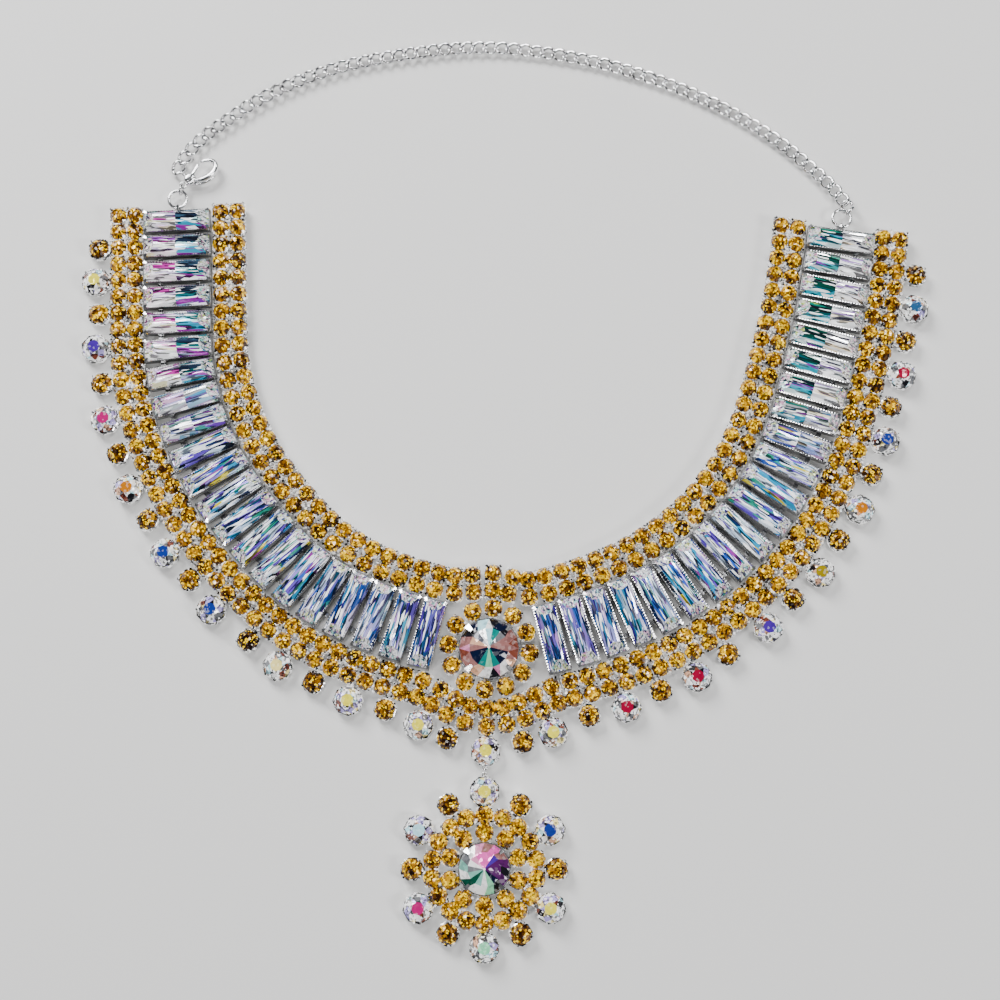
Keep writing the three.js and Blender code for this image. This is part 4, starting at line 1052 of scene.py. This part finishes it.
def smooth_line(points):
    """Points along a Catmull-Rom curve, and the run up to each: on each stretch a cubic in t whose
    slope at a given point is half the chord between its two neighbours"""
    points = np.array(points, float)
    padded = np.concatenate([2 * points[:1] - points[1:2], points, 2 * points[-1:] - points[-2:-1]])
    t = np.linspace(0, 1, 60, endpoint=False)[None, :, None]
    a, b, c, d = (padded[k:k + len(points) - 1, None] for k in range(4))
    curve = b + 0.5 * t * (c - a + t * (2 * a - 5 * b + 4 * c - d + t * (3 * (b - c) + d - a)))
    curve = np.concatenate([curve.reshape(-1, 2), points[-1:]])
    run = np.concatenate([[0], np.cumsum(np.linalg.norm(np.diff(curve, axis=0), axis=1))])
    return curve, run


def link_shapes(first_twist):
    """Centre line of an oval link, x along it, twisted about x: the ring's plane turns from the first
    twist at its start to the common one at its end; then a round wire round that line"""
    t = 2 * np.pi * np.arange(18) / 18
    x = 0.5 * (LINK_LENGTH - LINK_WIRE) * np.cos(t)
    y = 0.5 * (LINK_WIDTH - LINK_WIRE) * np.sin(t) * (1.06 - 0.1 * np.cos(2 * t))
    share = 0.5 + x / (LINK_LENGTH - LINK_WIRE)
    twist = first_twist + (LINK_TWIST - first_twist) * share
    line = np.stack([x, y * np.cos(twist), y * np.sin(twist)], -1)
    slope = np.roll(line, -1, axis=0) - np.roll(line, 1, axis=0)
    slope /= np.linalg.norm(slope, axis=1, keepdims=True)
    across = np.stack([0 * t, -np.sin(twist), np.cos(twist)], -1)
    across -= (across * slope).sum(1, keepdims=True) * slope
    across /= np.linalg.norm(across, axis=1, keepdims=True)
    return tube(line, np.cross(across, slope), across, 0.5 * LINK_WIRE, 0.5 * LINK_WIRE, 6, closed=True)


curve, run = smooth_line(CHAIN_ROUTE)
centres = np.arange(FIRST_LINK, run[-1] - 0.5 * LINK_PITCH, LINK_PITCH)
spots = np.stack([np.interp(centres, run, curve[:, axis]) for axis in (0, 1)], -1)
starts = np.stack([np.interp(centres - 1.0, run, curve[:, axis]) for axis in (0, 1)], -1)
ends = np.stack([np.interp(centres + 1.0, run, curve[:, axis]) for axis in (0, 1)], -1)
headings = (ends - starts) / np.linalg.norm(ends - starts, axis=1, keepdims=True)
beside = np.stack([-headings[:, 1], headings[:, 0]], -1)
link_parts = []
for first_twist, chosen in ((FIRST_LINK_TWIST, slice(0, 1)), (-LINK_TWIST, slice(1, None))):
    points, facets = link_shapes(first_twist)
    copies = placed(points, spots[chosen], headings[chosen], beside[chosen])
    lift = np.exp(-(centres[chosen] - FIRST_LINK) / CHAIN_FALL)
    copies[..., 2] += (CHAIN_HEIGHT + (WIRE_HEIGHT - CHAIN_HEIGHT) * lift)[:, None]
    link_parts.append((copies, repeated(facets, len(copies), len(points))))
add_piece("curb_chain_links", link_parts, bright_plating, ["chain"], smooth=True)

# Clasp. A cast lobster clasp, tumbled smooth and plated: a hook that thickens towards its neck, an eye
# for the ring, two cheeks, and between them a flat sprung lever on a pin, whose end shuts the hook.
EYE_PLACE = (-67.650, 102.613)
CLASP_HEADING = np.radians(33)
HINGE = np.array([2.15, 0.75])
HOOK_CENTRE = np.array([5.4, 0.65])
HOOK_REACH = np.array([3.2, 1.98])
LEVER_ANGLE = np.radians(28)
LEVER_LENGTH = 3.75
THUMB_LENGTH = 2.0
EYE_RADIUS = 0.68
CHEEK_CENTRE = (2.02, 0.5)
CHEEK_STRETCH = 1.3
clasp_ahead = (np.cos(CLASP_HEADING), np.sin(CLASP_HEADING))
clasp_left = (-np.sin(CLASP_HEADING), np.cos(CLASP_HEADING))
clasp_frame = tuple(np.array([pair], float) for pair in (EYE_PLACE, clasp_ahead, clasp_left))


def swept(points, widths, heights, around, level=0.0):
    """Rounded bar along a smooth line through points: at each share of the line's run its half width
    and half height are read from a list by straight lines between its (share, size) pairs"""
    curve, run = smooth_line(points)
    share = np.linspace(0, 1, 45)
    share = np.concatenate([[0, 0.012], share[1:-1], [0.988, 1]])
    line = np.stack([np.interp(share * run[-1], run, curve[:, axis]) for axis in (0, 1)], -1)
    slope = np.gradient(line, axis=0)
    slope /= np.linalg.norm(slope, axis=1, keepdims=True)
    nil = 0 * share
    across = np.stack([-slope[:, 1], slope[:, 0], nil], -1)
    upright = np.stack([nil, nil, nil + 1], -1)
    half_width, half_height = (np.interp(share, *np.transpose(sizes)) for sizes in (widths, heights))
    path = np.column_stack([line, nil + WIRE_HEIGHT + level])
    return tube(path, across, upright, half_width, half_height, around)


def hook_points(first, last, count, beyond=0.0):
    """Points of the hook's oval from one angle to another, in degrees, or of a line outside it"""
    angle = np.radians(np.linspace(first, last, count))[:, None]
    return HOOK_CENTRE + (HOOK_REACH + beyond) * np.concatenate([np.cos(angle), np.sin(angle)], 1)


def stacked(radii, heights, centre, stretch=1.0, around=20):
    """Turned shape, lowest ring first, about an upright axis, which may be drawn out along x"""
    points = turned_rings(radii, heights, around) * [stretch, 1, 1] + [*centre, WIRE_HEIGHT]
    return points, shell_facets(len(radii), around)


hook_line = np.concatenate([hook_points(80, -150, 16), [(1.95, -0.66), (1.25, -0.46), (0.55, -0.05)]])
hook = swept(
    hook_line,
    [(0, 0.12), (0.02, 0.36), (0.3, 0.62), (0.6, 0.72), (0.78, 0.5), (0.9, 0.46), (1, 0.3)],
    [(0, 0.25), (0.02, 0.52), (0.3, 0.78), (0.6, 0.94), (0.88, 0.94), (1, 0.5)], 14)
ridge = swept(
    hook_points(-158, -62, 8, 0.66), [(0, 0.05), (0.1, 0.25), (0.5, 0.4), (0.9, 0.25), (1, 0.05)],
    [(0, 0.1), (0.1, 0.4), (0.5, 0.55), (0.9, 0.4), (1, 0.1)], 10, -0.3)
eye_angle = 2 * np.pi * np.arange(24) / 24
eye_out = np.stack([np.cos(eye_angle), np.sin(eye_angle), 0 * eye_angle], -1)
eye_points, eye_facets = tube(
    EYE_RADIUS * eye_out + [0, 0, WIRE_HEIGHT], eye_out, np.tile([0, 0, 1.0], (24, 1)),
    0.22, 0.46, 8, closed=True)
eye = (eye_points, [group[:, ::-1] for group in eye_facets])
upper_cheek = stacked(
    [0.94, 1.0, 0.96, 0.78, 0.5], [0.35, 0.42, 0.74, 0.9, 0.96], CHEEK_CENTRE, CHEEK_STRETCH)
lower_cheek = stacked(
    [0.6, 0.85, 0.97, 1.0, 0.94], [-0.95, -0.9, -0.7, -0.42, -0.35], CHEEK_CENTRE, CHEEK_STRETCH)
pin_head = stacked([0.3, 0.3, 0.2], [0.85, 1.0, 1.08], HINGE)
add_piece(
    "clasp_hook_and_cheeks",
    [copies_of(shape, clasp_frame) for shape in (hook, ridge, eye, upper_cheek, lower_cheek, pin_head)],
    bright_plating, ["clasp_body"], smooth=True)
along_lever = np.array([np.cos(LEVER_ANGLE), np.sin(LEVER_ANGLE)])
beside_lever = np.array([-along_lever[1], along_lever[0]])
lever_arm = swept(
    HINGE + np.linspace(0, LEVER_LENGTH, 5)[:, None] * along_lever,
    [(0, 0.36), (0.9, 0.36), (1, 0.16)], [(0, 0.27), (0.93, 0.27), (1, 0.14)], 10)
lever_thumb = swept(
    HINGE + np.linspace(0, THUMB_LENGTH, 4)[:, None] * beside_lever,
    [(0, 0.36), (0.6, 0.34), (0.85, 0.46), (1, 0.2)], [(0, 0.27), (0.55, 0.27), (0.85, 0.42), (1, 0.2)], 10)
lever_hub = stacked([0.64, 0.7, 0.7, 0.64], [-0.27, -0.22, 0.22, 0.27], HINGE)
add_piece(
    "clasp_sprung_lever", [copies_of(shape, clasp_frame) for shape in (lever_arm, lever_thumb, lever_hub)],
    bright_plating, ["clasp_lever"], body="clasp_lever", smooth=True)

# Floor, light and camera. A pale warm table; a large soft window from the upper left, a smaller one
# from the right, and two narrow strips whose reflections glint in the facets and the wire.
bpy.ops.mesh.primitive_plane_add(size=6.0, location=(0, 0, -0.0004))
floor = bpy.context.object
floor.name = "table_top"
paper, _, _ = new_material("pale table", Base_Color=(0.84, 0.835, 0.825, 1), Roughness=0.7)
floor.data.materials.append(paper)
floor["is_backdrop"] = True

world = bpy.data.worlds.new("studio")
bpy.context.scene.world = world
world.use_nodes = True
world.node_tree.nodes["Background"].inputs["Color"].default_value = (0.9, 0.94, 1.0, 1)
world.node_tree.nodes["Background"].inputs["Strength"].default_value = 0.1

LIGHTS = [
    ("window", (-0.45, 0.65, 0.55), (0.4, 0.4), 11.5),
    ("fill", (0.6, -0.2, 0.5), (0.2, 0.2), 2.8),
    ("overhead", (0.05, 0.35, 0.9), (0.12, 0.06), 1.6),
    ("strip_left", (-0.3, -0.25, 0.7), (0.04, 0.4), 1.6),
    ("strip_right", (0.3, 0.5, 0.7), (0.3, 0.04), 1.6),
]
LIGHT_AIM = Vector((0.002, 0.031, 0.0))
for name, place, size, power in LIGHTS:
    light = bpy.data.lights.new(name, "AREA")
    light.shape = "RECTANGLE"
    light.size, light.size_y = size
    light.energy = power
    lamp = bpy.data.objects.new(name, light)
    lamp.location = place
    aim = LIGHT_AIM - lamp.location
    lamp.rotation_euler = aim.to_track_quat("-Z", "Y").to_euler()
    lamp.visible_camera = False
    bpy.context.scene.collection.objects.link(lamp)

CAMERA_TILT = np.radians(12.09)
CAMERA_AIM = np.array([0.002264, 0.031157, 0.0035])
CAMERA_DISTANCE = 0.330
camera = bpy.data.objects.new("camera", bpy.data.cameras.new("camera"))
camera.location = CAMERA_AIM + CAMERA_DISTANCE * np.array([0, -np.sin(CAMERA_TILT), np.cos(CAMERA_TILT)])
camera.rotation_euler = (CAMERA_TILT, 0, 0)
camera.data.sensor_width = 36.0
camera.data.lens = 56.57
bpy.context.scene.collection.objects.link(camera)
bpy.context.scene.camera = camera

size = {"cad_box": [list(corner) for corner in cad_box], "scene_box": [list(corner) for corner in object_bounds()]}
